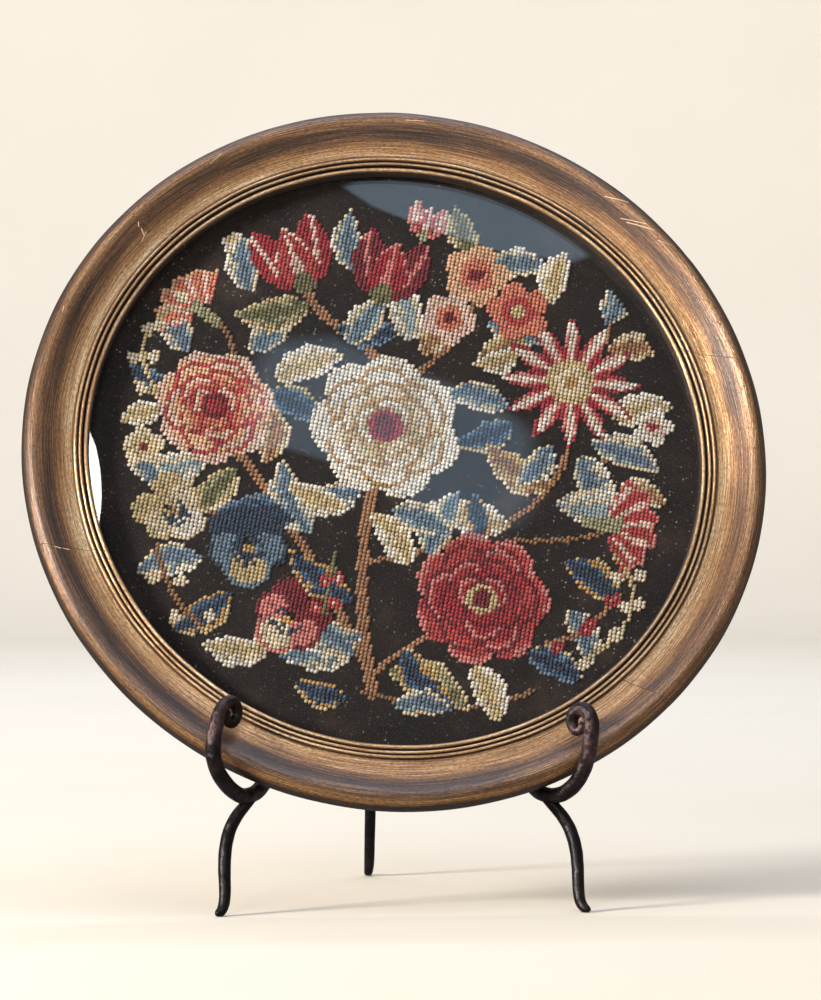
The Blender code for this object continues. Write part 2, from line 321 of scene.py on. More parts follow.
# Where it lies thicker or is rubbed off, and where it is made darker or lighter by side as painted
# shade and painted light, after how the light falls round the ring: degrees and their spread, radius
# and its spread, and change
GLAZE_AND_PAINTED_SHADING_DRIFTS = [
    (-85, 60, 185.8, 6.5, 0.36), (95, 60, 180.0, 8.0, 0.3), (-82, 66, 192.6, 1.6, -0.7),
    (180, 44, 180.0, 6.0, 0.06), (8, 34, 174.0, 5.0, -0.04), (-38, 30, 178.0, 8.0, -0.1),
    (-72, 40, 172.6, 4.4, 0.17), (-165, 40, 171.6, 3.6, -0.08), (-88, 50, 189.6, 2.0, 0.06),
    (24, 34, 178.6, 3.4, 0.12), (146, 34, 171.6, 3.6, -0.08), (146, 44, 189.6, 1.6, -0.14),
    (60, 26, 174.0, 6.0, 0.06), (-150, 36, 189.2, 1.9, 0.32), (-138, 30, 184.0, 5.0, 0.16),
    (95, 50, 189.6, 2.0, 0.2),
]

# Dents in the gesso: degrees round the frame, mm across the section, depth, and half sizes in mm
DENTS = [
    (168, 22, 0.5, 5, 1.6), (189, 20, 0.35, 3, 1.2), (150, 33, 0.3, 4, 1.6), (62, 24, 0.35, 4, 1.5),
    (8, 24, 0.4, 5, 1.4), (-21, 21, 0.5, 3, 1.8), (-64, 26, 0.35, 6, 1.4), (236, 23, 0.45, 4, 1.6),
    (265, 34, 0.25, 5, 1.5), (104, 21, 0.4, 4, 1.4), (201, 36, 0.3, 3, 1.2), (47, 20, 0.6, 3, 2.0),
]


def far_from(angle, degrees):
    """How many degrees round the ring each angle lies from this place, from -180 to 180."""
    return np.mod(np.degrees(angle) - degrees + 180, 360) - 180


def arc_surface(start, end, count):
    """An arc's angles and points: each section point carried round, a little uneven and dented.

    start and end hold the angles at the rim and at the sight edge, and the cut runs straight between.
    """
    section = moulding()
    across = length_along(section)
    inward = (FRAME_RADIUS - section[:, 0]) / (FRAME_RADIUS - SIGHT_RADIUS)
    half_gap = GAP / 2 / SIGHT_RADIUS
    first, last = (edge[0] + (edge[1] - edge[0]) * inward for edge in (start, end))
    angle = first + half_gap + (last - first - 2 * half_gap) * np.linspace(0, 1, count)[:, None]
    run = np.degrees(angle) * RIM_DEGREE
    radius = section[:, 0] + UNEVEN * ripple(run, across, 2, (31, 57, 83))
    height = section[:, 1] + UNEVEN * ripple(run, across, 3, (37, 49, 91))
    for degrees, at, depth, wide, tall in DENTS:
        away = far_from(angle, degrees) * RIM_DEGREE
        height = height - depth * np.exp(-(away / wide) ** 2 - ((across - at) / tall) ** 2)
    # The back was planed, so it stays flat
    height = np.where(section[:, 1] < 0.01, 0.0, height)
    return angle, np.stack([radius * np.cos(angle), radius * np.sin(angle), height], -1)


def finish_values(piece, angle):
    """Gives each point of an arc its place in the flat finish, its glaze with painted shade and light laid
    into it, its pits and its polish.

    The pits are faint on the face and strong outside the crest. The polish is a broad hump on the
    crest, and ends short of the outermost line, where the rim is worn dull.
    """
    section = moulding()
    flat = np.stack(np.broadcast_arrays(angle * FINISH_RADIUS, length_along(section)), -1) * MM
    set_uv(piece, "along", flat.reshape(-1, 2))
    behind = np.arange(len(section)) < section[:, 0].argmax()
    way_in = np.where(behind, 2 * FRAME_RADIUS - section[:, 0], section[:, 0])
    glaze = np.interp(way_in, *zip(*GLAZE_AND_PAINTED_SHADING)) * np.ones_like(angle)
    # Painted shade and painted light by side are laid into the glaze here, along with its real unevenness
    for degrees, spread, at, wide, change in GLAZE_AND_PAINTED_SHADING_DRIFTS:
        away = far_from(angle, degrees)
        glaze = glaze + change * np.exp(-(away / spread) ** 2 - ((way_in - at) / wide) ** 2)
    outer = np.clip((way_in - PITS_RADIUS) / 4, 0.12, 1)
    rubbed = 0.24 + 0.56 * np.exp(-((way_in - POLISH_RADIUS) / 3.2) ** 2)
    polish = rubbed * np.clip((FRAME_RADIUS - 2 - way_in) / 2.5, 0.1, 1)
    for name, values in (("glaze", glaze), ("outer", outer), ("polish", polish)):
        set_values(piece, name, (values * np.ones_like(angle)).ravel())


def frame_arc(name, start, end, count, materials):
    """One glued arc from joint to joint, gilded in front, and bare behind and at its ends."""
    angle, points = arc_surface(start, end, count)
    size = angle.shape[1]
    quads = grid_faces(count, size, True)
    caps = np.stack([np.arange(size), (count - 1) * size + np.arange(size)[::-1]])
    piece = new_piece(name, on_panel(points.reshape(-1, 3)), [quads, caps], materials)
    finish_values(piece, angle)
    bare = np.append(np.tile(np.arange(size) >= size - BARE_FACES, count - 1), [True, True])
    piece.data.polygons.foreach_set("material_index", bare.astype(np.int32))
    place(piece, "gilt_wood", name)


# Worn places on the gilding: degrees and radius in mm at both ends, and half the width in mm
SCRATCHES = [
    (53.4, 188.0, 57.6, 182.0, 0.3), (55.0, 187.6, 58.8, 181.6, 0.26), (59.6, 190.2, 63.2, 185.2, 0.32),
    (49.6, 189.5, 51.6, 186.0, 0.2), (-62.6, 182.6, -57.0, 192.6, 0.22), (-39.6, 178.0, -36.8, 191.0, 0.2),
    (-42.0, 176.8, -39.0, 179.0, 0.2), (209.6, 186.6, 210.0, 183.8, 0.4), (210.1, 182.6, 210.4, 179.8, 0.34),
    (149.0, 181.0, 149.4, 178.2, 0.45), (148.8, 178.2, 150.4, 176.6, 0.3), (148.6, 184.4, 149.1, 182.6, 0.3),
    (145.8, 168.2, 147.0, 170.6, 0.3), (33.4, 168.0, 34.6, 166.4, 0.3), (168.0, 189.6, 168.9, 189.2, 0.3),
    (96.0, 188.4, 99.0, 188.0, 0.24), (130.2, 189.0, 132.8, 187.0, 0.22), (12.0, 187.4, 14.8, 189.4, 0.22),
]


def scratch_mask(tree, along):
    """1 on the scratches: for each one, how near the point on its line lies, against its half width."""
    section = moulding()
    across = length_along(section)
    nose = section[:, 0].argmax()
    face = slice(nose, nose + FACE_POINTS)
    total = None
    for first, first_radius, last, last_radius, half_width in SCRATCHES:
        first_across, last_across = np.interp(
            (first_radius, last_radius), section[face][::-1, 0], across[face][::-1])
        start = np.array([math.radians(first) * FINISH_RADIUS, first_across, 0]) * MM
        step = np.array([math.radians(last) * FINISH_RADIUS, last_across, 0]) * MM - start
        offset = add(tree, "VectorMath", {0: along, 1: start}, operation="SUBTRACT")
        share = add(tree, "VectorMath", {0: offset, 1: step / (step @ step)}, out=1, operation="DOT_PRODUCT")
        held = add(tree, "Clamp", {0: share})
        nearest = add(tree, "VectorMath", {0: step, 3: held}, operation="SCALE")
        gap = add(tree, "VectorMath", {0: offset, 1: nearest}, out=1, operation="DISTANCE")
        mark = add(tree, "MapRange", {0: gap, 1: half_width * MM, 2: half_width * MM * 0.4})
        total = mark if total is None else add(tree, "Math", {0: total, 1: mark}, operation="MAXIMUM")
    return total


def gilded_wood():
    """Gilt pine moulding: bronze-gold over gesso, then an umber glaze brushed round the ring.

    The glaze stays in the grooves and in the brush marks, the metal shows on the beads, the crest and
    the foot of the scoop, and the light gesso shows in the scratches. The glaze values also carry painted
    shade on the flanks of the beads, painted highlights on their tops, and painted light and shade that
    change round the ring with how the light falls. Brush marks are 0.6 mm apart and 40 mm long, patches
    11 by 60 mm, grain 0.7 by 2.4 mm, and the pits about half a mm across.
    """
    material, tree = new_material("gilt_wood_glazed", Coat_Roughness=0.24)
    along = add(tree, "UVMap", uv_map="along")
    textures = []
    for waves, detail, roughness in (((24, 1600), 5.0, 0.72), ((16, 90), 3.0, 0.6), ((420, 1400), 2.0, 0.7)):
        spot = add(tree, "Mapping", {0: along, 3: (*waves, 1)})
        textures.append(add(tree, "TexNoise", {
            "Vector": spot, "Scale": 1.0, "Detail": detail, "Roughness": roughness}))
    brush, patch, grain = textures
    # The glaze attribute holds the umber glaze together with painted shade and painted light
    glaze, outer, polish = (
        add(tree, "Attribute", attribute_name=name, out=2) for name in ("glaze", "outer", "polish"))
    cover = glaze
    for texture, low, high, most in ((brush, 0.36, 0.64, 0.3), (patch, 0.25, 0.75, 0.14)):
        change = add(tree, "MapRange", {0: texture, 1: low, 2: high, 3: -most, 4: most})
        cover = add(tree, "Math", {0: cover, 1: change}, operation="ADD")
    tone = add(tree, "MapRange", {0: cover, 1: -0.25, 2: 1.0})
    face = add(tree, "ValToRGB", {0: tone}, stops=[
        (0.0, "#e9d1a6"), (0.2, "#cda273"), (0.38, "#a57a50"), (0.57, "#73533b"), (0.78, "#433024"),
        (1.0, "#1c1611")])
    face = shaded(tree, face, grain, [(0.36, 0.5), (0.5, 0.95), (0.64, 1.3)], 0.85)
    spots = add(tree, "Mapping", {0: along, 3: (620, 980, 1)})
    pits = specks(tree, spots, 1.0, (0.34, 0.16), (0.72, 0.86))
    pits = add(tree, "Math", {0: pits, 1: outer}, operation="MULTIPLY")
    worn = scratch_mask(tree, along)
    for mask, color in ((pits, "#2a1d14"), (worn, "#e2bf9d")):
        face = add(tree, "MixRGB", {0: mask, 1: face, 2: paint(color)})
    rough = add(tree, "MapRange", {0: cover, 3: 0.28, 4: 0.5})
    metal = add(tree, "MapRange", {0: cover, 3: 0.86, 4: 0.14})
    height = add(tree, "Math", {0: brush, 1: 2.2}, operation="MULTIPLY")
    for mark, depth in ((grain, 0.7), (worn, -1.2), (pits, -1.4)):
        height = add(tree, "Math", {0: mark, 1: depth, 2: height}, operation="MULTIPLY_ADD")
    bump = add(tree, "Bump", {"Height": height, "Distance": 0.00014, "Strength": 0.8})
    dress(tree, {"Base Color": face, "Metallic": metal, "Roughness": rough, "Normal": bump,
                 "Coat Weight": polish, "Coat Normal": bump})
    return material


def raw_pine(name, grain, light="#b08a60", dark="#8a6542"):
    """Bare pine gone brown: growth rings about 3 mm apart, at this angle on the panel, and fine pores."""
    material, tree = new_material(name, Roughness=0.74)
    spot = add(tree, "TexCoord", out=3)
    lay = {1: tuple(PANEL_ORIGIN), 2: Matrix(PANEL_TURN.tolist()).to_euler("XYZ")}
    local = add(tree, "Mapping", {0: spot, **lay}, vector_type="TEXTURE")
    local = add(tree, "Mapping", {0: local, 2: (0.0, 0.0, -grain)})
    sway = add(tree, "TexNoise", {"Vector": local, "Scale": 5.0, "Detail": 1.0})
    bent = add(tree, "VectorMath", {0: sway, 1: (0.01, 0.034, 0.0)}, operation="MULTIPLY")
    bent = add(tree, "VectorMath", {0: local, 1: bent}, operation="ADD")
    flat = add(tree, "Mapping", {0: bent, 3: (6, 330, 60)})
    rings = add(tree, "TexNoise", {"Vector": flat, "Scale": 1.0, "Detail": 3.0, "Roughness": 0.6})
    pores = add(tree, "Mapping", {0: local, 3: (120, 2400, 600)})
    pores = add(tree, "TexNoise", {"Vector": pores, "Scale": 1.0, "Detail": 2.0})
    stain = add(tree, "TexNoise", {"Vector": local, "Scale": 14.0, "Detail": 4.0})
    wood = add(tree, "ValToRGB", {0: rings}, stops=[(0.3, dark), (0.5, light), (0.56, dark), (0.6, light)])
    wood = shaded(tree, wood, pores, [(0.36, 0.66), (0.5, 1.0)], 0.5)
    wood = shaded(tree, wood, stain, [(0.4, 0.6), (0.65, 1.0)], 0.6)
    bump = add(tree, "Bump", {"Height": rings, "Distance": 0.0002, "Strength": 0.6})
    dress(tree, {"Base Color": wood, "Normal": bump})
    return material


def build_frame():
    """The four gilded arcs, bare pine behind."""
    gilded = gilded_wood()
    names = list(FRAME_JOINTS)
    for name, after in zip(names, names[1:] + names[:1]):
        start, end = np.radians(FRAME_JOINTS[name]), np.radians(FRAME_JOINTS[after])
        if end[0] < start[0]:
            end = end + 2 * math.pi
        bare = raw_pine("pine_frame_" + name, (start[0] + end[0] + math.pi) / 2)
        frame_arc("frame_" + name, start, end, ARC_STEPS[name], [gilded, bare])


# The glass

def pane_glass():
    """Soda-lime window glass, IOR 1.52: each face mirrors more at a shallow angle and lets the rest by.

    Rays go straight through, so the face that they leave by has to mirror as the one they enter by.
    """
    material, tree = new_material("pane_glass")
    leaving = add(tree, "NewGeometry", out=6)
    index = add(tree, "MapRange", {0: leaving, 3: 1.52, 4: 1 / 1.52})
    share = add(tree, "Fresnel", {"IOR": index})
    through = add(tree, "BsdfTransparent", {0: paint("#fefefe")})
    mirror = add(tree, "BsdfAnisotropic", {"Color": paint("#ffffff"), "Roughness": 0.008})
    replace_shader(tree, add(tree, "MixShader", {0: share, 1: through, 2: mirror}))
    return material


# The woolwork: a chart of wools on the canvas, where BARE cells show the black cloth

WOOLS = {
    "ivory": "#d8d2c7", "cream": "#ccbda1", "straw": "#b9a57b", "ochre": "#b08a54", "umber": "#86623f",
    "crimson": "#99242f", "garnet": "#711924", "scarlet": "#ac3e3e", "rose": "#c0736e", "blush": "#d2b4a6",
    "salmon": "#c4755e", "peach": "#d0a583", "bark": "#9c7050", "mist": "#8f9ea3", "slate": "#627688",
    "azure": "#3f5a77", "navy": "#28374c", "sage": "#979674", "olive": "#6c6947",
}
WOOL_NAMES = list(WOOLS)
BARE = -1
FAMILIES = {
    "cream": ("ivory", "cream", "straw", "ochre"),
    "red": ("crimson", "garnet", "scarlet", "rose", "blush", "salmon", "peach"),
    "blue": ("mist", "slate", "azure", "navy", "sage", "olive", "umber", "bark"),
}


HALF_GRID = int(WORKED_RADIUS / PITCH) + 2
GRID_X, GRID_Y = np.meshgrid(*[np.arange(-HALF_GRID, HALF_GRID + 1) * PITCH] * 2)


def seen_from(at, degrees):
    """The canvas cells in a motif's own axes: u along its direction and v to the left of it."""
    c, s = math.cos(math.radians(degrees)), math.sin(math.radians(degrees))
    x, y = GRID_X - at[0], GRID_Y - at[1]
    return x * c + y * s, y * c - x * s


def work(chart, inside, wools, level=0.0):
    """Works these cells, from the first wool at level 0 and under to the last at level 1 and over."""
    names = wools.split()
    numbers = np.array([WOOL_NAMES.index(name) for name in names])
    step = np.clip((np.broadcast_to(level, chart.shape) * len(names)).astype(int), 0, len(names) - 1)
    chart[inside] = numbers[step][inside]


def leaf(chart, at, degrees, length, width, bend, wools, seed):
    """A pointed oval whose half width is a sine of the way along.

    It shades from a dark midrib to its edge, lighter on the left half, and veins slant from the midrib.
    """
    u, v = seen_from(at, degrees)
    t = np.clip(u / length, 0, 1)
    v = v - bend * 4 * t * (1 - t)
    half = width / 2 * np.sin(math.pi * t ** 0.82) ** 0.85 * (1 + 0.1 * ripple(GRID_X, GRID_Y, seed))
    inside = (u >= 0) & (u <= length) & (abs(v) <= half)
    share = abs(v) / np.maximum(half, 0.1)
    level = 0.82 * share + 0.24 * (v > 0) - 0.1 + 0.1 * ripple(GRID_X, GRID_Y, seed + 7)
    work(chart, inside, wools, level)
    spacing = length / 4.4
    line = np.mod(u - 1.25 * abs(v), spacing) < 1.0 * PITCH
    first = wools.split()[0]
    work(chart, inside & line & (share < 0.74) & (t > 0.12) & (t < 0.9), first)
    work(chart, inside & (abs(v) < 0.55 * PITCH) & (t < 0.86), first)


def rose(chart, at, degrees, radius, wools, heart):
    """Rings of round petals, the inner ones over the outer, each shaded from its foot out to its rim."""
    u, v = seen_from(at, degrees)
    first, last = wools.split()[0], wools.split()[-1]
    rings = 7, 6, 5, 3
    for ring, count in enumerate(rings):
        share = 1 - ring / len(rings)
        reach, size = 0.62 * radius * share, 0.4 * radius * (0.42 + 0.58 * share)
        for i in range(count):
            angle = 2 * math.pi * (i + 0.5 * (ring % 2)) / count + 0.5 * ring
            du, dv = u - reach * math.cos(angle), v - reach * math.sin(angle)
            away = np.hypot(du, dv * 0.9)
            outward = (du * math.cos(angle) + dv * math.sin(angle)) / size
            if ring:
                work(chart, (away < size + 0.75 * PITCH) & (outward > -0.2), first)
            inside = away < size
            level = 0.48 + 0.42 * outward - 0.12 * ring + 0.1 * ripple(GRID_X, GRID_Y, i + 9 * ring)
            work(chart, inside, wools, level)
            if (i + ring) % 2:
                work(chart, inside & (away > size - 1.05 * PITCH) & (outward > 0.15), last)
    for i, wool in enumerate(heart.split()):
        work(chart, np.hypot(u, v) < radius * (0.24 - 0.09 * i), wool)


def aster(chart, at, degrees, radius, count, wools, eye):
    """Pointed petals: the reach falls from the radius with the angle off each petal's own line."""
    u, v = seen_from(at, degrees)
    r = np.hypot(u, v)
    off = np.abs(np.mod(np.arctan2(v, u) * count / (2 * math.pi) + 0.5, 1) - 0.5) * 2
    reach = radius * (1 - 0.5 * off ** 1.1)
    work(chart, r < reach, wools, 0.2 + 1.1 * off - 0.15 * r / radius)
    work(chart, (r < reach) & (r > reach - 1.0 * PITCH), wools.split()[-1])
    for i, wool in enumerate(eye.split()):
        work(chart, r < radius * (0.34 - 0.12 * i), wool)


def blossom(chart, at, degrees, radius, wools):
    """Five round petals set round a small heart, darker at their feet."""
    petal, shade, heart = wools.split()
    u, v = seen_from(at, degrees)
    count = 5
    for i in range(count):
        angle = 2 * math.pi * i / count
        away = np.hypot(u - 0.56 * radius * math.cos(angle), v - 0.56 * radius * math.sin(angle))
        work(chart, away < 0.46 * radius, petal)
        work(chart, (away < 0.46 * radius) & (np.hypot(u, v) < 0.5 * radius), shade)
        split = math.radians(180 / count)
        line = np.abs(u * math.sin(angle + split) - v * math.cos(angle + split)) < 0.5 * PITCH
        ahead = u * math.cos(angle + split) + v * math.sin(angle + split) > 0
        work(chart, line & ahead & (np.hypot(u, v) < 0.72 * radius), shade)
    work(chart, np.hypot(u, v) < 0.22 * radius, heart)


def pansy(chart, at, degrees, size, wools):
    """Two upper petals, one at each side and a broad lower one, with dark whiskers and an eye."""
    upper, side, lower, mark, eye = wools.split()
    u, v = seen_from(at, degrees)
    for lean in (-1, 1):
        work(chart, np.hypot(u - lean * 0.42 * size, v - 0.5 * size) < 0.47 * size, upper)
    for lean in (-1, 1):
        away = np.hypot(u - lean * 0.52 * size, v + 0.05 * size)
        work(chart, away < 0.44 * size, side)
        work(chart, (away < 0.44 * size) & (away > 0.44 * size - 1.1 * PITCH) & (v < 0.2 * size), upper)
    away = np.hypot(u * 0.86, v + 0.5 * size)
    work(chart, away < 0.5 * size, lower)
    work(chart, (away < 0.5 * size) & (away > 0.5 * size - 1.1 * PITCH), side)
    near = (np.hypot(u, v + 0.06 * size) < 0.42 * size) & (v < 0.12 * size)
    work(chart, near & (np.mod(np.arctan2(v, u) * 7 / math.pi, 1) < 0.5), mark)
    work(chart, np.hypot(u, v + 0.02 * size) < 0.13 * size, eye)


def tulip(chart, at, degrees, size, wools):
    """A cup from the side: two outer petals lean out behind a middle one flamed with another wool."""
    outer, middle, flame, base = wools.split()
    u, v = seen_from(at, degrees)
    t = np.clip(u / size, 0, 1)
    for lean in (-1, 1):
        w = v - lean * 0.27 * size * t
        half = 0.3 * size * np.sin(math.pi * t ** 0.7) ** 0.7
        inside = (u > 0) & (u < size) & (abs(w - lean * 0.12 * size) < half)
        work(chart, inside, outer)
        work(chart, inside & (abs(w - lean * 0.2 * size) < 0.7 * PITCH) & (t > 0.25), flame)
    t = np.clip(u / (0.9 * size), 0, 1)
    half = 0.27 * size * np.sin(math.pi * t ** 0.72) ** 0.75
    inside = (u > 0) & (u < 0.9 * size) & (abs(v) < half)
    work(chart, inside, middle)
    work(chart, inside & (abs(v) < 0.11 * size * (1 - t)), flame)
    work(chart, inside & (abs(v) > half - 0.8 * PITCH) & (t > 0.5), flame)
    work(chart, np.hypot(u - 0.05 * size, v) < 0.16 * size, base)


def pink(chart, at, degrees, size, wools):
    """A ragged fan of narrow petals that opens from a slim cup."""
    petal, streak, rim, cup = wools.split()
    u, v = seen_from(at, degrees)
    r, angle = np.hypot(u, v), np.arctan2(v, u)
    ray = np.mod(angle * 7 / math.pi, 1)
    ragged = size * (1 - 0.12 * np.abs(ray * 2 - 1))
    inside = (abs(angle) < 1.12) & (r < ragged) & (r > 0.25 * size)
    work(chart, inside, petal)
    work(chart, inside & (ray < 0.4) & (r < 0.85 * size), streak)
    work(chart, inside & (r > ragged - 1.1 * PITCH), rim)
    cup_half = 0.1 * size + 0.16 * np.clip(u, 0, size)
    work(chart, (u > -0.3 * size) & (u < 0.36 * size) & (abs(v) < cup_half), cup)


def stroke(chart, path, wool, wide=1):
    """Works the cells nearest to the path, wide stitches across."""
    for shift in range(wide):
        cells = np.round(path / PITCH + (shift - (wide - 1) / 2) * 0.75).astype(int) + HALF_GRID
        chart[cells[:, 1], cells[:, 0]] = WOOL_NAMES.index(wool)


def berries(chart, points, count, wools):
    """Round berries on alternate sides of a thin stalk."""
    stalk, fruit, shine = wools.split()
    path = curve(points, 200)
    stroke(chart, path, stalk)
    for i, spot in enumerate(path[:: len(path) // count][1:]):
        side = 2.6 * PITCH * (1 if i % 2 else -1)
        away = np.hypot(GRID_X - spot[0] - side * 0.7, GRID_Y - spot[1] - side)
        work(chart, away < 1.7 * PITCH, fruit)
        work(chart, away < 0.6 * PITCH, shine)


# Wools of a leaf, from the midrib out to the edge
LEAF_WOOLS = {
    "frost": "slate mist cream ivory", "milk": "straw cream ivory ivory", "dusk": "navy azure slate straw",
    "autumn": "navy azure ochre straw", "moss": "olive sage straw cream", "pale": "mist cream ivory cream",
    "harvest": "umber ochre straw cream", "tawny": "bark straw cream cream",
}

# Stems: four controls in mm, wool and stitches across
STEMS = [
    ([(12, -132), (-6, -84), (-10, -44), (-8, -14)], "bark", 3),
    ([(10, -122), (-24, -74), (-60, -30), (-90, -8)], "bark", 2),
    ([(10, -120), (30, -92), (40, -92), (50, -80)], "bark", 2),
    ([(-2, -60), (40, -40), (96, -20), (88, 40)], "bark", 2),
    ([(-10, 40), (-20, 64), (-50, 60), (-66, 88)], "bark", 2),
    ([(0, 44), (14, 66), (30, 76), (24, 112)], "bark", 2),
    ([(70, -32), (90, -30), (106, -24), (118, -16)], "umber", 1),
    ([(-50, -38), (-80, -50), (-96, -54), (-104, -50)], "umber", 1),
    ([(-90, 30), (-96, 50), (-104, 56), (-112, 60)], "umber", 1),
    ([(90, 60), (96, 76), (100, 88), (98, 102)], "bark", 1),
    ([(-16, 96), (-10, 112), (-6, 120), (-8, 132)], "umber", 1),
    ([(108, 20), (118, 30), (126, 34), (128, 40)], "umber", 1),
    ([(6, -130), (40, -136), (70, -128), (92, -112)], "umber", 1),
]

# Leaves: base, direction in degrees, length, width and bend in mm, and wools
LEAVES = [
    ((0, -100), 208, 44, 22, 4, "frost"), ((0, -112), 172, 42, 20, -4, "frost"),
    ((18, -116), 344, 46, 21, 5, "moss"), ((-8, -84), 150, 42, 19, 3, "autumn"),
    ((22, -104), 322, 42, 19, -3, "autumn"), ((-44, -118), 186, 36, 17, 3, "milk"),
    ((-36, -52), 120, 44, 22, 4, "frost"), ((-46, -46), 192, 44, 21, -4, "dusk"),
    ((-80, -24), 232, 38, 18, 3, "moss"), ((-96, -22), 200, 40, 20, 4, "pale"),
    ((-66, -18), 96, 36, 18, -3, "tawny"), ((-118, -42), 120, 34, 17, 3, "frost"),
    ((-118, 34), 118, 36, 18, 2, "frost"), ((-86, 42), 70, 40, 19, -3, "frost"),
    ((-70, 30), 32, 40, 20, 3, "milk"), ((-72, 22), 340, 34, 18, 3, "dusk"),
    ((-60, 76), 200, 42, 20, 4, "moss"), ((-44, 66), 12, 36, 18, -3, "dusk"),
    ((-36, 58), 62, 36, 18, 2, "frost"), ((-84, 92), 150, 36, 18, 3, "milk"),
    ((-42, 100), 100, 36, 17, 3, "frost"), ((-4, 66), 116, 40, 19, -3, "pale"),
    ((4, 60), 60, 34, 17, 3, "tawny"), ((34, 86), 350, 36, 18, 3, "frost"),
    ((28, 118), 12, 36, 17, 3, "frost"), ((20, 124), 118, 30, 16, 2, "moss"),
    ((34, 62), 54, 36, 18, -3, "harvest"), ((54, 40), 178, 36, 18, -3, "frost"),
    ((58, 32), 212, 34, 17, 3, "dusk"), ((100, 30), 348, 40, 19, 3, "frost"),
    ((108, 46), 22, 36, 18, 3, "milk"), ((96, 22), 312, 40, 20, -3, "frost"),
    ((84, 0), 156, 42, 21, 4, "harvest"), ((88, -8), 18, 44, 21, -4, "pale"),
    ((66, -26), 170, 40, 19, 3, "milk"), ((98, -38), 330, 38, 19, 3, "autumn"),
    ((26, -50), 74, 40, 20, 3, "frost"), ((18, -58), 136, 36, 18, -3, "milk"),
    ((86, -92), 340, 34, 17, 3, "dusk"), ((60, -104), 300, 36, 18, 3, "milk"),
    ((-70, -92), 226, 38, 18, 3, "autumn"), ((-88, -76), 206, 36, 18, -3, "frost"),
    ((100, 84), 12, 34, 17, 3, "tawny"), ((97, 99), 62, 34, 17, 3, "frost"),
    ((66, 104), 84, 34, 17, 3, "milk"), ((-124, 12), 156, 24, 14, 2, "dusk"),
    ((-124, 0), 210, 24, 14, -2, "milk"), ((-92, 76), 108, 34, 17, 3, "frost"),
    ((54, -34), 110, 26, 14, 3, "autumn"), ((104, -64), 300, 32, 16, 3, "frost"),
    ((24, -134), 6, 30, 15, 3, "frost"), ((0, -136), 172, 30, 15, 3, "autumn"),
    ((54, 74), 210, 26, 14, 3, "milk"), ((80, 24), 240, 30, 16, 3, "frost"),
    ((118, 8), 350, 28, 15, 3, "tawny"), ((-14, -22), 200, 34, 18, 3, "frost"),
    ((-20, -34), 166, 34, 17, 3, "milk"), ((4, -30), 350, 34, 18, 3, "frost"),
]


def work_chart():
    """The whole picture as one wool for each canvas cell: stems, then leaves, then flowers over them."""
    chart = np.full(GRID_X.shape, BARE)
    for points, wool, wide in STEMS:
        stroke(chart, curve(points, 400), wool, wide)
    for i, (at, degrees, length, width, bend, wools) in enumerate(LEAVES):
        leaf(chart, at, degrees, length, width, bend, LEAF_WOOLS[wools], 30 + i)
    aster(chart, (84, 62), 8, 38, 12, "ivory blush rose crimson", "straw cream ochre")
    rose(chart, (-98, 8), 20, 31, "scarlet salmon peach blush", "garnet crimson")
    rose(chart, (-8, 16), 40, 39, "ochre straw cream ivory ivory", "crimson garnet")
    rose(chart, (58, -68), 10, 35, "garnet crimson crimson scarlet rose", "straw garnet")
    pansy(chart, (-66, -66), 12, 22, "navy slate straw navy ochre")
    pansy(chart, (-38, -100), -30, 20, "garnet rose cream navy ochre")
    pansy(chart, (-108, -54), 60, 19, "straw cream ivory navy ochre")
    tulip(chart, (-64, 86), 122, 40, "crimson scarlet blush olive")
    tulip(chart, (-24, 88), 84, 38, "garnet crimson rose olive")
    blossom(chart, (24, 112), 10, 18, "peach salmon garnet")
    blossom(chart, (50, 96), 40, 17, "salmon scarlet straw")
    blossom(chart, (14, 84), 0, 15, "blush salmon garnet")
    pink(chart, (112, -14), 5, 32, "scarlet blush rose sage")
    pink(chart, (-112, 58), 150, 28, "salmon blush peach sage")
    blossom(chart, (-130, -22), 30, 11, "cream straw garnet")
    blossom(chart, (131, 46), 12, 11, "ivory blush crimson")
    tulip(chart, (-8, 128), 84, 20, "rose scarlet blush sage")
    berries(chart, [(-126, 8), (-144, 22), (-146, 40), (-130, 60)], 6, "straw cream ivory")
    berries(chart, [(122, -30), (142, -44), (140, -66), (118, -88)], 7, "straw cream ivory")
    berries(chart, [(-112, -74), (-106, -92), (-96, -104), (-82, -112)], 4, "umber cream ivory")
    berries(chart, [(96, -84), (112, -80), (120, -66), (128, -50)], 5, "bark crimson rose")
    berries(chart, [(-22, -60), (-16, -74), (-26, -84), (-20, -92)], 4, "olive scarlet blush")
    chart[np.hypot(GRID_X, GRID_Y) > WORKED_RADIUS] = BARE
    return chart


# One stitch of plump yarn: half sizes along its slant and across it and its height, in mm, how many
# degrees it slants, its sides, and how deep its foot stands in the cloth
STITCH_LONG = 1.2
STITCH_WIDE = 0.95
STITCH_HIGH = 1.05
STITCH_SLANT = 48
STITCH_SIDES = 8
STITCH_FOOT = 0.1
# Rings of the stitch as a share of its half size and of its height, and how much of each ring's
# colour shows, last its top: painted shade that darkens the stitches toward their feet, where they
# meet, and a painted highlight on their tops
STITCH_RINGS = [(1.2, 0.0), (0.93, 0.4), (0.66, 0.82)]
STITCH_PAINTED_SHADING = [0.4, 0.84, 1.08, 1.14]


def stitch_faces():
    """The corner numbers of one stitch: bottom, bands of quads and a fan to the top."""
    sides, rings = STITCH_SIDES, len(STITCH_RINGS)
    ring = np.arange(sides)
    bands = grid_faces(rings, sides, True)[:, [0, 3, 2, 1]]
    return [ring[::-1][None, :], bands, fan(ring + (rings - 1) * sides, rings * sides)]


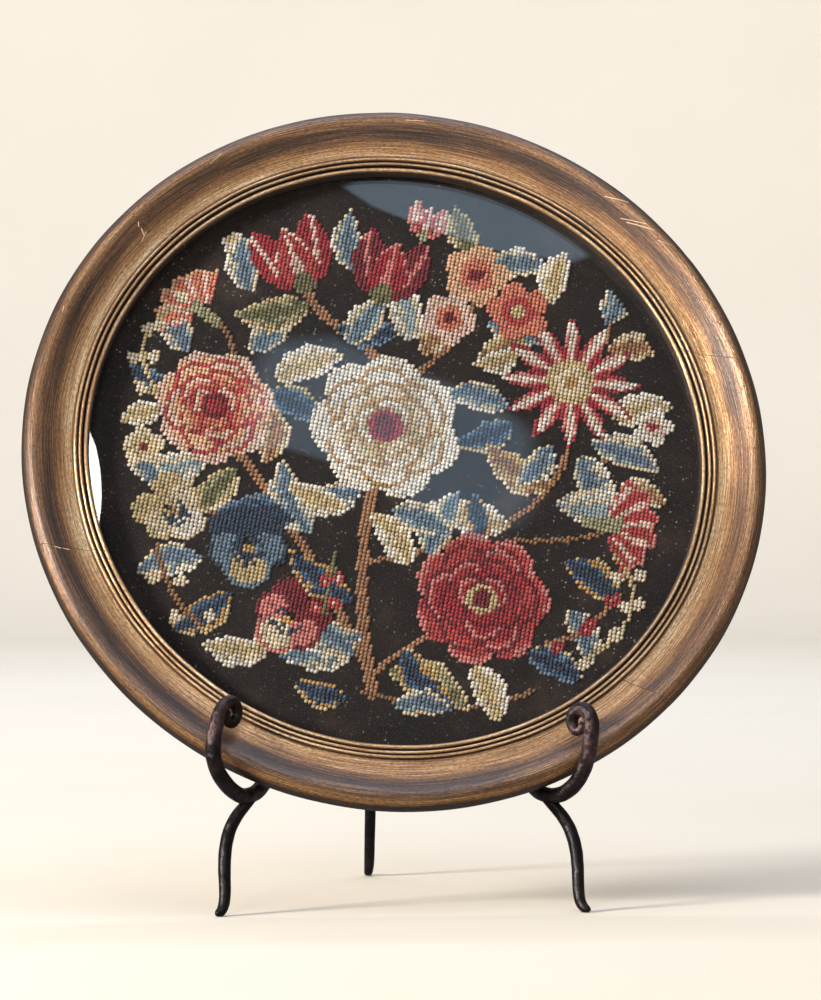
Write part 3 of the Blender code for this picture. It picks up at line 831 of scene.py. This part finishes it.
def stitch_points(x, y, rng):
    """The points of each stitch, an oval dome on its cell with its own slant, size and place."""
    count = len(x)
    slant = np.radians(STITCH_SLANT + rng.normal(0, 5, count))[:, None]
    long = STITCH_LONG * (1 + rng.normal(0, 0.06, count))[:, None]
    wide = STITCH_WIDE * (1 + rng.normal(0, 0.06, count))[:, None]
    high = STITCH_HIGH * (1 + np.clip(rng.normal(0, 0.07, count), -0.18, 0.12))[:, None]
    jitter = rng.normal(0, 0.09, (2, count))
    angle = around(STITCH_SIDES)
    reach, up = np.array(STITCH_RINGS).T
    along = np.append(np.outer(reach, np.cos(angle)), 0) * long
    beside = np.append(np.outer(reach, np.sin(angle)), 0) * wide
    lift = np.append(np.repeat(up, STITCH_SIDES), 1) * high
    px = (x + jitter[0])[:, None] + along * np.cos(slant) - beside * np.sin(slant)
    py = (y + jitter[1])[:, None] + along * np.sin(slant) + beside * np.cos(slant)
    return np.stack([px, py, CLOTH_FACE - STITCH_FOOT + RELIEF * ground_relief(px, py) + lift], -1)


def build_stitches(name, x, y, wools, material, rng):
    """The stitches of one family of dyes as one mesh, each with its own lot of colour, darkened toward its
    foot as painted shade and lightened on top as a painted highlight.
    """
    points = stitch_points(x, y, rng)
    count, size = points.shape[:2]
    first = (np.arange(count) * size)[:, None, None]
    groups = [(faces[None] + first).reshape(-1, faces.shape[1]) for faces in stitch_faces()]
    piece = new_piece(name, on_panel(points.reshape(-1, 3)), groups, [material], 80)
    lot = np.array([linear(WOOLS[wool]) for wool in WOOL_NAMES])[wools]
    lot = lot * np.clip(1 + rng.normal(0, 0.13, count), 0.6, 1.35)[:, None]
    # Painted shade darkens each stitch toward its foot, and a painted highlight lightens its top
    depth = np.append(np.repeat(STITCH_PAINTED_SHADING[:-1], STITCH_SIDES), STITCH_PAINTED_SHADING[-1])
    colors = np.ones((count, size, 4))
    colors[..., :3] = np.clip(lot[:, None] * depth[None, :, None], 0, 1)
    set_values(piece, "dye_with_painted_shading", colors, "FLOAT_COLOR")
    return place(piece, "woolwork")


def ground_relief(x, y):
    """The cloth's own slight unevenness, from -1 to 1: it was pulled as it was worked."""
    return ripple(x, y, 21, (17, 26, 43, 90))


def berlin_wool():
    """Worsted wool yarn, dyed in the skein: matt, with a soft sheen of loose fibres and 0.4 mm plies."""
    material, tree = new_material("berlin_wool", Roughness=0.62, Sheen_Weight=0.18, Sheen_Roughness=0.45)
    # The wool's own colour, with painted shade at each stitch's foot and a painted highlight on its top
    dye_with_painted_shading = add(tree, "Attribute", attribute_name="dye_with_painted_shading")
    spot = add(tree, "TexCoord", out=3)
    fuzz = add(tree, "TexNoise", {"Vector": spot, "Scale": 2400.0, "Detail": 3.0, "Roughness": 0.6})
    soil = add(tree, "TexNoise", {"Vector": spot, "Scale": 26.0, "Detail": 3.0})
    color = shaded(tree, dye_with_painted_shading, fuzz, [(0.3, 0.7), (0.7, 1.15)])
    color = shaded(tree, color, soil, [(0.35, 0.82), (0.65, 1.04)])
    bump = add(tree, "Bump", {"Height": fuzz, "Distance": 0.00025, "Strength": 0.6})
    dress(tree, {"Base Color": color, "Normal": bump})
    return material


def black_cloth():
    """Black wool cloth: a close plain weave, drawn at 0.7 mm so that it shows, with pale lint on it and
    lighter brown patches, which are partly wear and partly a painted sheen.

    A wave texture of scale 1 turns through 20 radians a metre, and one wave here is two threads.
    """
    material, tree = new_material(
        "black_wool_cloth", Roughness=0.95, Specular_IOR_Level=0.3, Sheen_Weight=0.08)
    thread = 0.7 * MM
    flat = add(tree, "UVMap", uv_map="cut")
    waves = {"Vector": flat, "Scale": 2 * math.pi / thread / 20 / 2}
    warp, weft = (add(tree, "TexWave", waves, out=1, bands_direction=way) for way in ("X", "Y"))
    weave = add(tree, "Math", {0: warp, 1: weft}, operation="MULTIPLY")
    nap = add(tree, "TexNoise", {"Vector": flat, "Scale": 1400.0, "Detail": 3.0, "Roughness": 0.65})
    # Lighter brown patches: partly worn cloth, partly a painted sheen
    wear_and_painted_sheen = add(tree, "TexNoise", {"Vector": flat, "Scale": 22.0, "Detail": 4.0, "Roughness": 0.6})
    ground = add(tree, "ValToRGB", {0: wear_and_painted_sheen}, stops=[(0.34, "#1b1716"), (0.56, "#241e1c"), (0.74, "#3d312b")])
    ground = shaded(tree, ground, nap, [(0.36, 0.5), (0.5, 0.95), (0.62, 1.0)])
    stray = add(tree, "VectorMath", {0: nap, 1: (0.0012, 0.0009, 0.0)}, operation="MULTIPLY")
    stray = add(tree, "VectorMath", {0: flat, 1: stray}, operation="ADD")
    patch = add(tree, "TexNoise", {"Vector": flat, "Scale": 12.0, "Detail": 2.0})
    patch = add(tree, "MapRange", {0: patch, 1: 0.42, 2: 0.62, 3: 0.25, 4: 1.0})
    lint = specks(tree, stray, 520.0, (0.3, 0.1), (0.7, 0.96))
    lint = add(tree, "Math", {0: lint, 1: patch}, operation="MULTIPLY")
    fuzz = add(tree, "MapRange", {0: nap, 1: 0.6, 2: 0.72, 3: 0.0, 4: 0.5})
    for mask, color in ((fuzz, "#8b857c"), (lint, "#a9a298")):
        ground = add(tree, "MixRGB", {0: mask, 1: ground, 2: paint(color)})
    height = add(tree, "Math", {0: nap, 1: 0.6, 2: weave}, operation="MULTIPLY_ADD")
    bump = add(tree, "Bump", {"Height": height, "Distance": 0.00013, "Strength": 0.5})
    dress(tree, {"Base Color": ground, "Normal": bump})
    return material


def build_cloth():
    """The black cloth, a closed round sheet, and the wool on it, in one mesh for each family of dyes.

    The square grid is drawn into a disc: x times the root of 1 - y*y/2, and y times that of x.
    """
    side = np.linspace(-1, 1, CLOTH_GRID + 1)
    u, v = np.meshgrid(side, side, indexing="ij")
    x = CLOTH_RADIUS * u * np.sqrt(1 - v * v / 2)
    y = CLOTH_RADIUS * v * np.sqrt(1 - u * u / 2)
    edge = np.clip((CLOTH_RADIUS - np.hypot(x, y)) / CLOTH_HELD, 0, 1)
    front = np.stack([x, y, CLOTH_FACE + RELIEF * ground_relief(x, y) * edge], -1).reshape(-1, 3)
    back = np.stack([x, y, np.full(x.shape, CLOTH_BACK)], -1).reshape(-1, 3)
    count, across = len(front), CLOTH_GRID + 1
    top = grid_faces(across, across, False)
    bottom = top[:, ::-1] + count
    number = np.arange(count).reshape(across, across)
    rim = np.concatenate([number[:-1, 0], number[-1, :-1], number[:0:-1, -1], number[0, :0:-1]])
    band = np.stack([rim, rim + count, np.roll(rim, -1) + count, np.roll(rim, -1)], 1)
    points = np.concatenate([front, back])
    cloth = new_piece("worked_cloth_sheet", on_panel(points), [top, bottom, band], [black_cloth()])
    set_uv(cloth, "cut", points[:, :2] * MM)
    place(cloth, "woolwork", "worked_cloth")
    wool = berlin_wool()
    chart = work_chart()
    rng = np.random.default_rng(17)
    for family, members in FAMILIES.items():
        cells = np.isin(chart, [WOOL_NAMES.index(member) for member in members])
        build_stitches(
            "stitches_" + family, GRID_X[cells], GRID_Y[cells], chart[cells], wool, rng)


# The easel: the same bars as built, in mm, with more points and the marks of the hammer

EASEL_X = -4.0
SADDLE_OUT = 80.0
SADDLE_Y = -60.0
ARM_TURN = math.radians(42)
ARM_RADIUS = 4.0
LEG_RADIUS = 3.3
BACK_LEG_RADIUS = 3.1
BRACE_RADIUS = 3.0
HEAD_RADIUS = 11.0
HEAD_THICKNESS = 7.0
HEAD_UP = 42.0
ARM_TOP = (5.4, 31.85)
ARM_FOOT_UP = -150.0
ARM_FOOT_REACH = -24.6
ARM_BEHIND = 4.3
BRACE_UP = -118.0
BRACE_HALF = 47.95
PANEL_SEAT = np.array([0, 10.8, 228.9])
# How far the whole object was slid to stand over the origin, in mm
SLID = PANEL_ORIGIN / MM - PANEL_SEAT
BAR_SIDES = 20
BAR_SPACING = 1.3
# How far the hammer leaves a bar uneven, as a share of its radius, and the gap at a shaped end in mm
HAMMERED = 0.035
END_GAP = 0.14

# Each arm in its own upright plane: out from the saddle, up from the floor, and thickness
ARM_BACK = [(-21.6, 71.0, 1.0), (-18.7, 65.0, 1.0), (-13.5, 60.1, 1.0), (-6.5, 57.7, 1.0)]
SADDLE_LIFT = {"left": 1.2, "right": 0.0}
ARM_FRONT = {
    "left": [
        (0.5, 59.0, 1.0), (7.4, 61.8, 1.0), (14.8, 67.0, 1.0), (20.6, 73.8, 1.0), (23.4, 81.5, 1.0),
        (23.0, 89.0, 0.99), (21.0, 96.0, 0.96), (17.8, 102.2, 0.91), (13.8, 106.0, 0.86),
        (9.2, 106.9, 0.82), (5.4, 104.2, 0.79), (4.8, 99.8, 0.76), (7.4, 96.6, 0.72), (11.4, 96.6, 0.67),
        (12.8, 98.9, 0.56), (12.0, 100.8, 0.5), (9.8, 101.2, 0.5),
    ],
    "right": [
        (0.5, 58.0, 1.0), (6.7, 60.4, 1.0), (12.8, 65.2, 1.0), (17.2, 71.4, 1.0), (20.0, 77.6, 1.0),
        (21.6, 84.0, 1.0), (22.6, 90.6, 1.0), (22.6, 96.4, 0.99), (20.0, 101.0, 0.98),
        (15.4, 102.4, 0.93), (11.0, 99.6, 0.88), (10.2, 94.6, 0.8), (13.0, 91.2, 0.7),
        (16.2, 92.8, 0.58), (15.9, 96.2, 0.56),
    ],
}
# A front leg: out from the easel's middle, forward, up and thickness
LEG_ROWS = [
    (79.3, 57.1, 51.8, 0.92), (83.0, 58.6, 47.2, 0.96), (86.6, 61.0, 40.6, 1.0), (88.8, 64.6, 32.2, 1.0),
    (89.5, 68.0, 22.0, 0.97), (89.4, 70.6, 12.6, 0.93), (89.9, 72.8, 6.4, 0.88), (91.6, 75.2, 2.5, 0.78),
    (94.6, 78.0, 1.3, 0.62),
]
# The third leg: back, up and thickness
BACK_LEG_ROWS = [
    (33.25, 265.2, 0.9), (38.2, 263.0, 0.9), (43.4, 256.5, 0.95), (51.0, 236.0, 1.0), (67.0, 184.0, 1.0),
    (86.0, 118.0, 1.0), (102.0, 56.0, 1.0), (109.5, 22.0, 0.96), (112.6, 8.6, 0.9), (117.0, 2.6, 0.8),
    (123.5, 1.5, 0.64),
]


def smooth_path(rows):
    """Evenly spaced points of a smooth curve through the rows, which hold thickness last.

    Between two rows it is a cubic, whose slope at a row is half the step between that row's neighbours.
    It gives the points, with their thickness, and how far along the curve each one lies.
    """
    rows = np.array(rows, float)
    ends = np.concatenate([[2 * rows[0] - rows[1]], rows, [2 * rows[-1] - rows[-2]]])
    a, b, c, d = (ends[k:len(ends) - 3 + k, None] for k in range(4))
    t = np.linspace(0, 1, 40, endpoint=False)[None, :, None]
    square, cube = 2 * a - 5 * b + 4 * c - d, 3 * b - a - 3 * c + d
    spans = b + (c - a) * t / 2 + square * t ** 2 / 2 + cube * t ** 3 / 2
    path = np.concatenate([spans.reshape(-1, rows.shape[1]), rows[-1:]])
    length = length_along(path[:, :3])
    even = np.linspace(0, length[-1], round(length[-1] / BAR_SPACING))
    return np.stack([np.interp(even, length, column) for column in path.T], 1), even


def coped(points, toward, arm):
    """The points slid toward an arm of the easel, till they lie a seventh of a mm off it."""
    for _ in range(14):
        away = np.linalg.norm(points[:, None] - arm[None, :, :3], axis=2).min(1) - ARM_RADIUS
        points = points + toward * 0.8 * (away - END_GAP)[:, None]
    return points


def untwisted(middle):
    """The way ahead at each point of a path, and two axes across it, carried on without twisting."""
    ahead = np.gradient(middle, axis=0)
    ahead /= np.linalg.norm(ahead, axis=1)[:, None]
    side = np.cross(ahead[0], (0.3, 0.1, 1.0))
    sides = []
    for forward in ahead:
        side = side - forward * (side @ forward)
        side /= np.linalg.norm(side)
        sides.append(side)
    return ahead, np.array(sides), np.cross(ahead, sides)


def forged_bar(name, rows, radius, material, seed, against=(None, None)):
    """A round bar along the rows: a ring of points carried along the path without twisting.

    The radius is a little uneven, as hammered iron is, the ends are domed over three rings or shaped
    to the arm that they stand against, and what would reach under the floor is ground flat.
    """
    path, along = smooth_path(rows)
    middle, size = path[:, :3], radius * path[:, 3]
    ahead, side, up = untwisted(middle)
    dome = np.sqrt(np.clip(1 - (1 - np.arange(4) / 3) ** 2, 0.03, 1))
    if against[0] is None:
        size[:4] *= dome
    if against[1] is None:
        size[-4:] *= dome[::-1]
    angle = around(BAR_SIDES)
    marks = ripple(along[:, None], angle * radius * 2.2, seed, (7, 11, 19, 23))
    reach = size[:, None] * (1 + HAMMERED * marks)
    circle = np.cos(angle)[:, None] * side[:, None] + np.sin(angle)[:, None] * up[:, None]
    points = (middle[:, None] + reach[..., None] * circle).reshape(-1, 3)
    ends = middle[[0, -1]]
    rims = slice(0, BAR_SIDES), slice(-BAR_SIDES, None)
    for end, (arm, rim, toward) in enumerate(zip(against, rims, (-ahead[0], ahead[-1]))):
        if arm is not None:
            points[rim] = coped(points[rim], toward, arm)
            ends[[end]] = coped(ends[[end]], toward, arm)
    tip = len(points)
    ring = np.arange(BAR_SIDES)
    points = np.concatenate([points, ends]) + SLID
    points[:, 2] = np.maximum(points[:, 2], 0)
    faces = [
        grid_faces(len(path), BAR_SIDES, True)[:, ::-1],
        fan(ring, tip)[:, [1, 0, 2]],
        fan(ring + tip - BAR_SIDES, tip + 1),
    ]
    place(new_piece(name + "_iron", points * MM, faces, [material], 60), "wrought_iron", name)


def on_back(x, up, behind):
    """A point x from the easel's middle, up the panel's slope and behind its back, before sliding."""
    y = up * math.sin(LEAN) + behind * math.cos(LEAN)
    z = up * math.cos(LEAN) - behind * math.sin(LEAN)
    return EASEL_X + x, PANEL_SEAT[1] + y, PANEL_SEAT[2] + z


def arm_rows(side):
    """From the boss down the back of the frame, under the rim and up in front to the scroll."""
    out = -1 if side == "left" else 1
    top_out, top_up = ARM_TOP
    foot_out = SADDLE_OUT + ARM_FOOT_REACH * math.sin(ARM_TURN)
    rows = []
    for share in (0.0, 0.34, 0.67, 1.0):
        x = top_out + share * (foot_out - top_out)
        rows.append((*on_back(out * x, top_up + share * (ARM_FOOT_UP - top_up), ARM_BEHIND), 1.0))
    back = [(reach, up + SADDLE_LIFT[side], thickness) for reach, up, thickness in ARM_BACK]
    for reach, up, thickness in back + ARM_FRONT[side]:
        x = EASEL_X + out * (SADDLE_OUT + reach * math.sin(ARM_TURN))
        rows.append((x, SADDLE_Y - reach * math.cos(ARM_TURN), up, thickness))
    return rows


def leg_rows(side):
    """From under the arm's saddle down and outward to the toe."""
    out = -1 if side == "left" else 1
    taller = 1 + SADDLE_LIFT[side] / LEG_ROWS[0][2]
    return [(EASEL_X + out * x, -y, z * taller, t) for x, y, z, t in LEG_ROWS]


def wrought_iron(name, tones, dents):
    """Wrought iron, forged black and waxed: hammer facets of 3 to 6 mm, fine scale and a brown cast."""
    material, tree = new_material(name, Metallic=0.7)
    spot = add(tree, "TexCoord", out=3)
    facets = add(tree, "TexVoronoi", {"Vector": spot, "Scale": 230.0, "Smoothness": 0.5}, feature="SMOOTH_F1")
    scale = add(tree, "TexNoise", {"Vector": spot, "Scale": 750.0, "Detail": 4.0, "Roughness": 0.65})
    patches = add(tree, "TexNoise", {"Vector": spot, "Scale": 70.0, "Detail": 4.0, "Roughness": 0.6})
    color = add(tree, "ValToRGB", {0: patches}, stops=zip((0.36, 0.54, 0.7), tones))
    color = shaded(tree, color, scale, [(0.35, 0.5), (0.65, 1.3)], 0.7)
    rough = add(tree, "MapRange", {0: scale, 1: 0.3, 2: 0.7, 3: 0.26, 4: 0.46})
    height = add(tree, "Math", {0: scale, 1: 0.45, 2: facets}, operation="MULTIPLY_ADD")
    bump = add(tree, "Bump", {"Height": height, "Distance": 0.0012, "Strength": dents})
    dress(tree, {"Base Color": color, "Roughness": rough, "Normal": bump})
    return material


def build_head(material):
    """The boss: a round forged disc, its profile turned about the axis that faces the panel's way."""
    half, sides = HEAD_THICKNESS / 2, 48
    profile = np.array([
        (0.4, half), (0.55, half), (0.86, half - 0.15), (0.95, half - 0.7), (1.0, half - 1.7)])
    profile = np.concatenate([profile, profile[::-1] * (1, -1)]) * (HEAD_RADIUS, 1)
    points = np.concatenate([spun(profile, sides, 0.012), [(0, 0, half), (0, 0, -half)]])
    points = points @ LEAN_TURN.T + on_back(0, HEAD_UP, ARM_BEHIND) + SLID
    ring, tip = np.arange(sides), len(profile) * sides
    faces = [
        grid_faces(len(profile), sides, True),
        fan(ring, tip),
        fan(ring + tip - sides, tip + 1)[:, [1, 0, 2]],
    ]
    place(new_piece("easel_head_iron", points * MM, faces, [material], 50), "wrought_iron", "easel_head")


def build_easel():
    """Arms, legs, brace, boss and third leg."""
    iron = wrought_iron("wrought_iron_forged", ("#1d1818", "#33282a", "#5e4845"), 0.75)
    black = wrought_iron("wrought_iron_black", ("#121011", "#1d191a", "#33292a"), 0.4)
    arms = [smooth_path(arm_rows(side))[0] for side in ("left", "right")]
    for seed, side in enumerate(("left", "right")):
        forged_bar("easel_arm_" + side, arm_rows(side), ARM_RADIUS, iron, 40 + seed)
        forged_bar("easel_leg_" + side, leg_rows(side), LEG_RADIUS, black, 50 + seed, (arms[seed], None))
    brace = [(*on_back(side * BRACE_HALF, BRACE_UP, ARM_BEHIND), 1.0) for side in (-1, 0, 1)]
    forged_bar("easel_brace", brace, BRACE_RADIUS, black, 60, arms)
    forged_bar("easel_back_leg", [(EASEL_X, *row) for row in BACK_LEG_ROWS], BACK_LEG_RADIUS, black, 61)
    build_head(iron)


# Camera, floor and lights

CAMERA_TURN = math.radians(5.877)
CAMERA_AWAY = 1944.4
CAMERA_SIDE = 7.296
CAMERA_DROP = 24.843
SENSOR = 36.0
FOCAL = 3.721 * SENSOR
AIM_HEIGHT = 11.5


def stand(name, data, side, back, at):
    """Stands a camera or a light at a point: side is the way to its right, and it looks away from back."""
    thing = bpy.data.objects.new(name, data)
    bpy.context.scene.collection.objects.link(thing)
    axes = np.stack([side, np.cross(back, side), back, at], 1)
    thing.matrix_world = Matrix([*axes.tolist(), [0, 0, 0, 1]])
    return thing


def build_camera():
    """A level camera a little to the left, at the photograph's angle and distance."""
    ahead = np.array([math.sin(CAMERA_TURN), math.cos(CAMERA_TURN), 0])
    right = np.array([math.cos(CAMERA_TURN), -math.sin(CAMERA_TURN), 0])
    down = np.array([0.0, 0.0, -1.0])
    away = -CAMERA_AWAY * ahead + CAMERA_SIDE * right + CAMERA_DROP * down
    eye = on_panel((0, 0, AIM_HEIGHT)) + away * MM
    data = bpy.data.cameras.new("camera")
    data.sensor_fit = "AUTO"
    data.sensor_width = SENSOR
    data.lens = FOCAL
    data.clip_start = 0.05
    bpy.context.scene.camera = stand("camera", data, right, -ahead, eye)
    return eye


def build_floor():
    """A wide pale floor that turns up into a low wall: a profile spun about the upright axis."""
    flat, bend, top, sides = 3.6, 1.2, 2.4, 96
    corner = arc((flat, bend), bend, bend, -90, 0, 16)
    profile = np.concatenate([[(0.15, 0), (0.6, 0), (1.8, 0)], corner, [(flat + bend, top)]])
    points = np.concatenate([spun(profile, sides), [(0, 0, 0)]]) - (0, 0, 0.05 * MM)
    material, tree = new_material("matt_paper", Roughness=0.95, Specular_IOR_Level=0.1)
    spot = add(tree, "TexCoord", out=3)
    tone = add(tree, "TexNoise", {"Vector": spot, "Scale": 3.0, "Detail": 2.0})
    dress(tree, {"Base Color": add(tree, "ValToRGB", {0: tone}, stops=[(0.3, "#e1d8c8"), (0.7, "#e4dbcb")])})
    faces = [grid_faces(len(profile), sides, True), fan(np.arange(sides), len(points) - 1)]
    floor = new_piece("floor", points, faces, [material])
    floor.visible_glossy = False


# Each light: where it stands and what it is aimed at, its width and height, its power and its colour
LIGHTS = {
    "key_left": ((-2.72, -1.33, 1.12), PANEL_ORIGIN, (0.72, 0.64), 166, "#fffaf3"),
    "window_above": ((0.1, 0.3, 2.5), PANEL_ORIGIN, (1.8, 1.0), 15, "#e0e9fb"),
    "sky_in_front": ((0.1, -0.95, 2.35), PANEL_ORIGIN, (1.7, 1.2), 16, "#cbdcfb"),
    "fill_front": ((-1.0, -2.5, 0.9), PANEL_ORIGIN, (0.6, 0.6), 18, "#fff6ea"),
    "backdrop_wash": ((0.0, 1.6, 2.9), (0.0, 4.2, 0.0), (3.4, 0.8), 101, "#e0ebff"),
}
# What the glass mirrors: its outline on the pane in mm, how far off it stands and how much of it is
# evenly bright, its colour and its strength
CARDS = {
    "card_dark_room": (arc((0, 0), 178, 178, 0, 345, 23), 2.6, 0.8, "#ffffff", 0.0),
    "card_window_top": ([
        (-57, 146), (-39, 138), (-11, 132.5), (34, 126.5), (75, 129), (92, 140), (66, 158), (28, 168),
        (-11, 170), (-40, 164),
    ], 2.2, 0.93, "#c1e4ff", 1.45),
    "card_window_middle": ([
        (-84, 51), (-47, 62), (-7, 52), (31, 47), (66, 34), (74, 26), (80, -14), (74, -26), (52, -40),
        (34, -36), (-6, -16), (-60, -10), (-78, -14), (-86, 0), (-88, 30),
    ], 2.2, 0.85, "#b6dfff", 0.9),
    "card_lamp_left": ([
        (-161, -18), (-156.9, -24), (-154.3, -27.6), (-151.6, -34), (-149.2, -40.3), (-147.2, -46.8),
        (-145.7, -53.3), (-144.5, -59.8), (-143.6, -68.2), (-143, -76), (-170, -76), (-174, -18),
    ], 2.2, 0.97, "#fffdf6", 15),
}


def build_light(name, at, aim, size, power, color):
    """A soft rectangular light at one point, aimed at another."""
    data = bpy.data.lights.new(name, "AREA")
    data.shape = "RECTANGLE"
    data.size, data.size_y = size
    data.energy = power
    data.color = linear(color)
    back = np.array(at, float) - aim
    back /= np.linalg.norm(back)
    side = np.cross((0, 0, 1), back)
    stand(name, data, side / np.linalg.norm(side), back, at)


def mirrored(spots, eye):
    """The directions in which the pane sends on the lines from the eye to these spots on it."""
    rays = spots - eye
    rays = rays / np.linalg.norm(rays, axis=-1, keepdims=True)
    return rays - 2 * (rays @ FACE)[..., None] * FACE


def mirrored_card(name, outline, away, softness, color, strength, eye):
    """A glowing card that only reflections see, shaped so that the glass mirrors this outline.

    Each outline point on the glass, in the panel's mm, is joined to the eye, mirrored in the pane
    and followed to a plane that stands away from the glass. The glow fades out towards the rim.
    """
    spots = on_panel([(x, y, GLASS_MIDDLE) for x, y in outline])
    centre = spots.mean(0)
    axis, rays = mirrored(centre, eye), mirrored(spots, eye)
    rim = spots + ((away - (spots - centre) @ axis) / (rays @ axis))[:, None] * rays
    middle = rim.mean(0)
    count = len(rim)
    material, tree = new_material(name)
    glow = add(tree, "Attribute", attribute_name="glow", out=2)
    power = add(tree, "Math", {0: glow, 1: strength}, operation="MULTIPLY")
    replace_shader(tree, add(tree, "Emission", {0: paint(color), 1: power}))
    points = np.concatenate([rim, middle + (rim - middle) * softness, [middle]])
    faces = [grid_faces(2, count, True)[:, [0, 3, 2, 1]], fan(np.arange(count) + count, 2 * count)]
    card = new_piece(name, points, faces, [material])
    set_values(card, "glow", np.repeat([0, 1], [count, count + 1]))
    card.visible_camera = card.visible_diffuse = card.visible_shadow = card.visible_transmission = False


def build_room():
    """A dim even room round the object, a little brighter where it is mirrored."""
    world = bpy.data.worlds.new("soft_room")
    world.use_nodes = True
    bpy.context.scene.world = world
    tree = world.node_tree
    glossy = add(tree, "LightPath", out=3)
    power = add(tree, "MapRange", {0: glossy, 3: 0.22, 4: 0.28})
    room = add(tree, "Background", {0: paint("#fbf8f2"), 1: power})
    tree.links.new(room, tree.nodes["World Output"].inputs["Surface"])


def build_lights(eye):
    """Daylight from the left, a window above, sky and a fill in front, a wash on the wall, and cards."""
    for name, settings in LIGHTS.items():
        build_light(name, *settings)
    build_room()
    for name, settings in CARDS.items():
        mirrored_card(name, *settings, eye)


def main():
    build_frame()
    board_pine = raw_pine("pine_back_board", 0.04, "#b99566", "#93704a")
    for node, material in (("glass_pane", pane_glass()), ("back_board", board_pine)):
        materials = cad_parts[node].data.materials
        materials.clear()
        materials.append(material)
    build_cloth()
    build_easel()
    eye = build_camera()
    build_floor()
    build_lights(eye)
    bpy.context.scene.view_settings.view_transform = "Standard"


main()
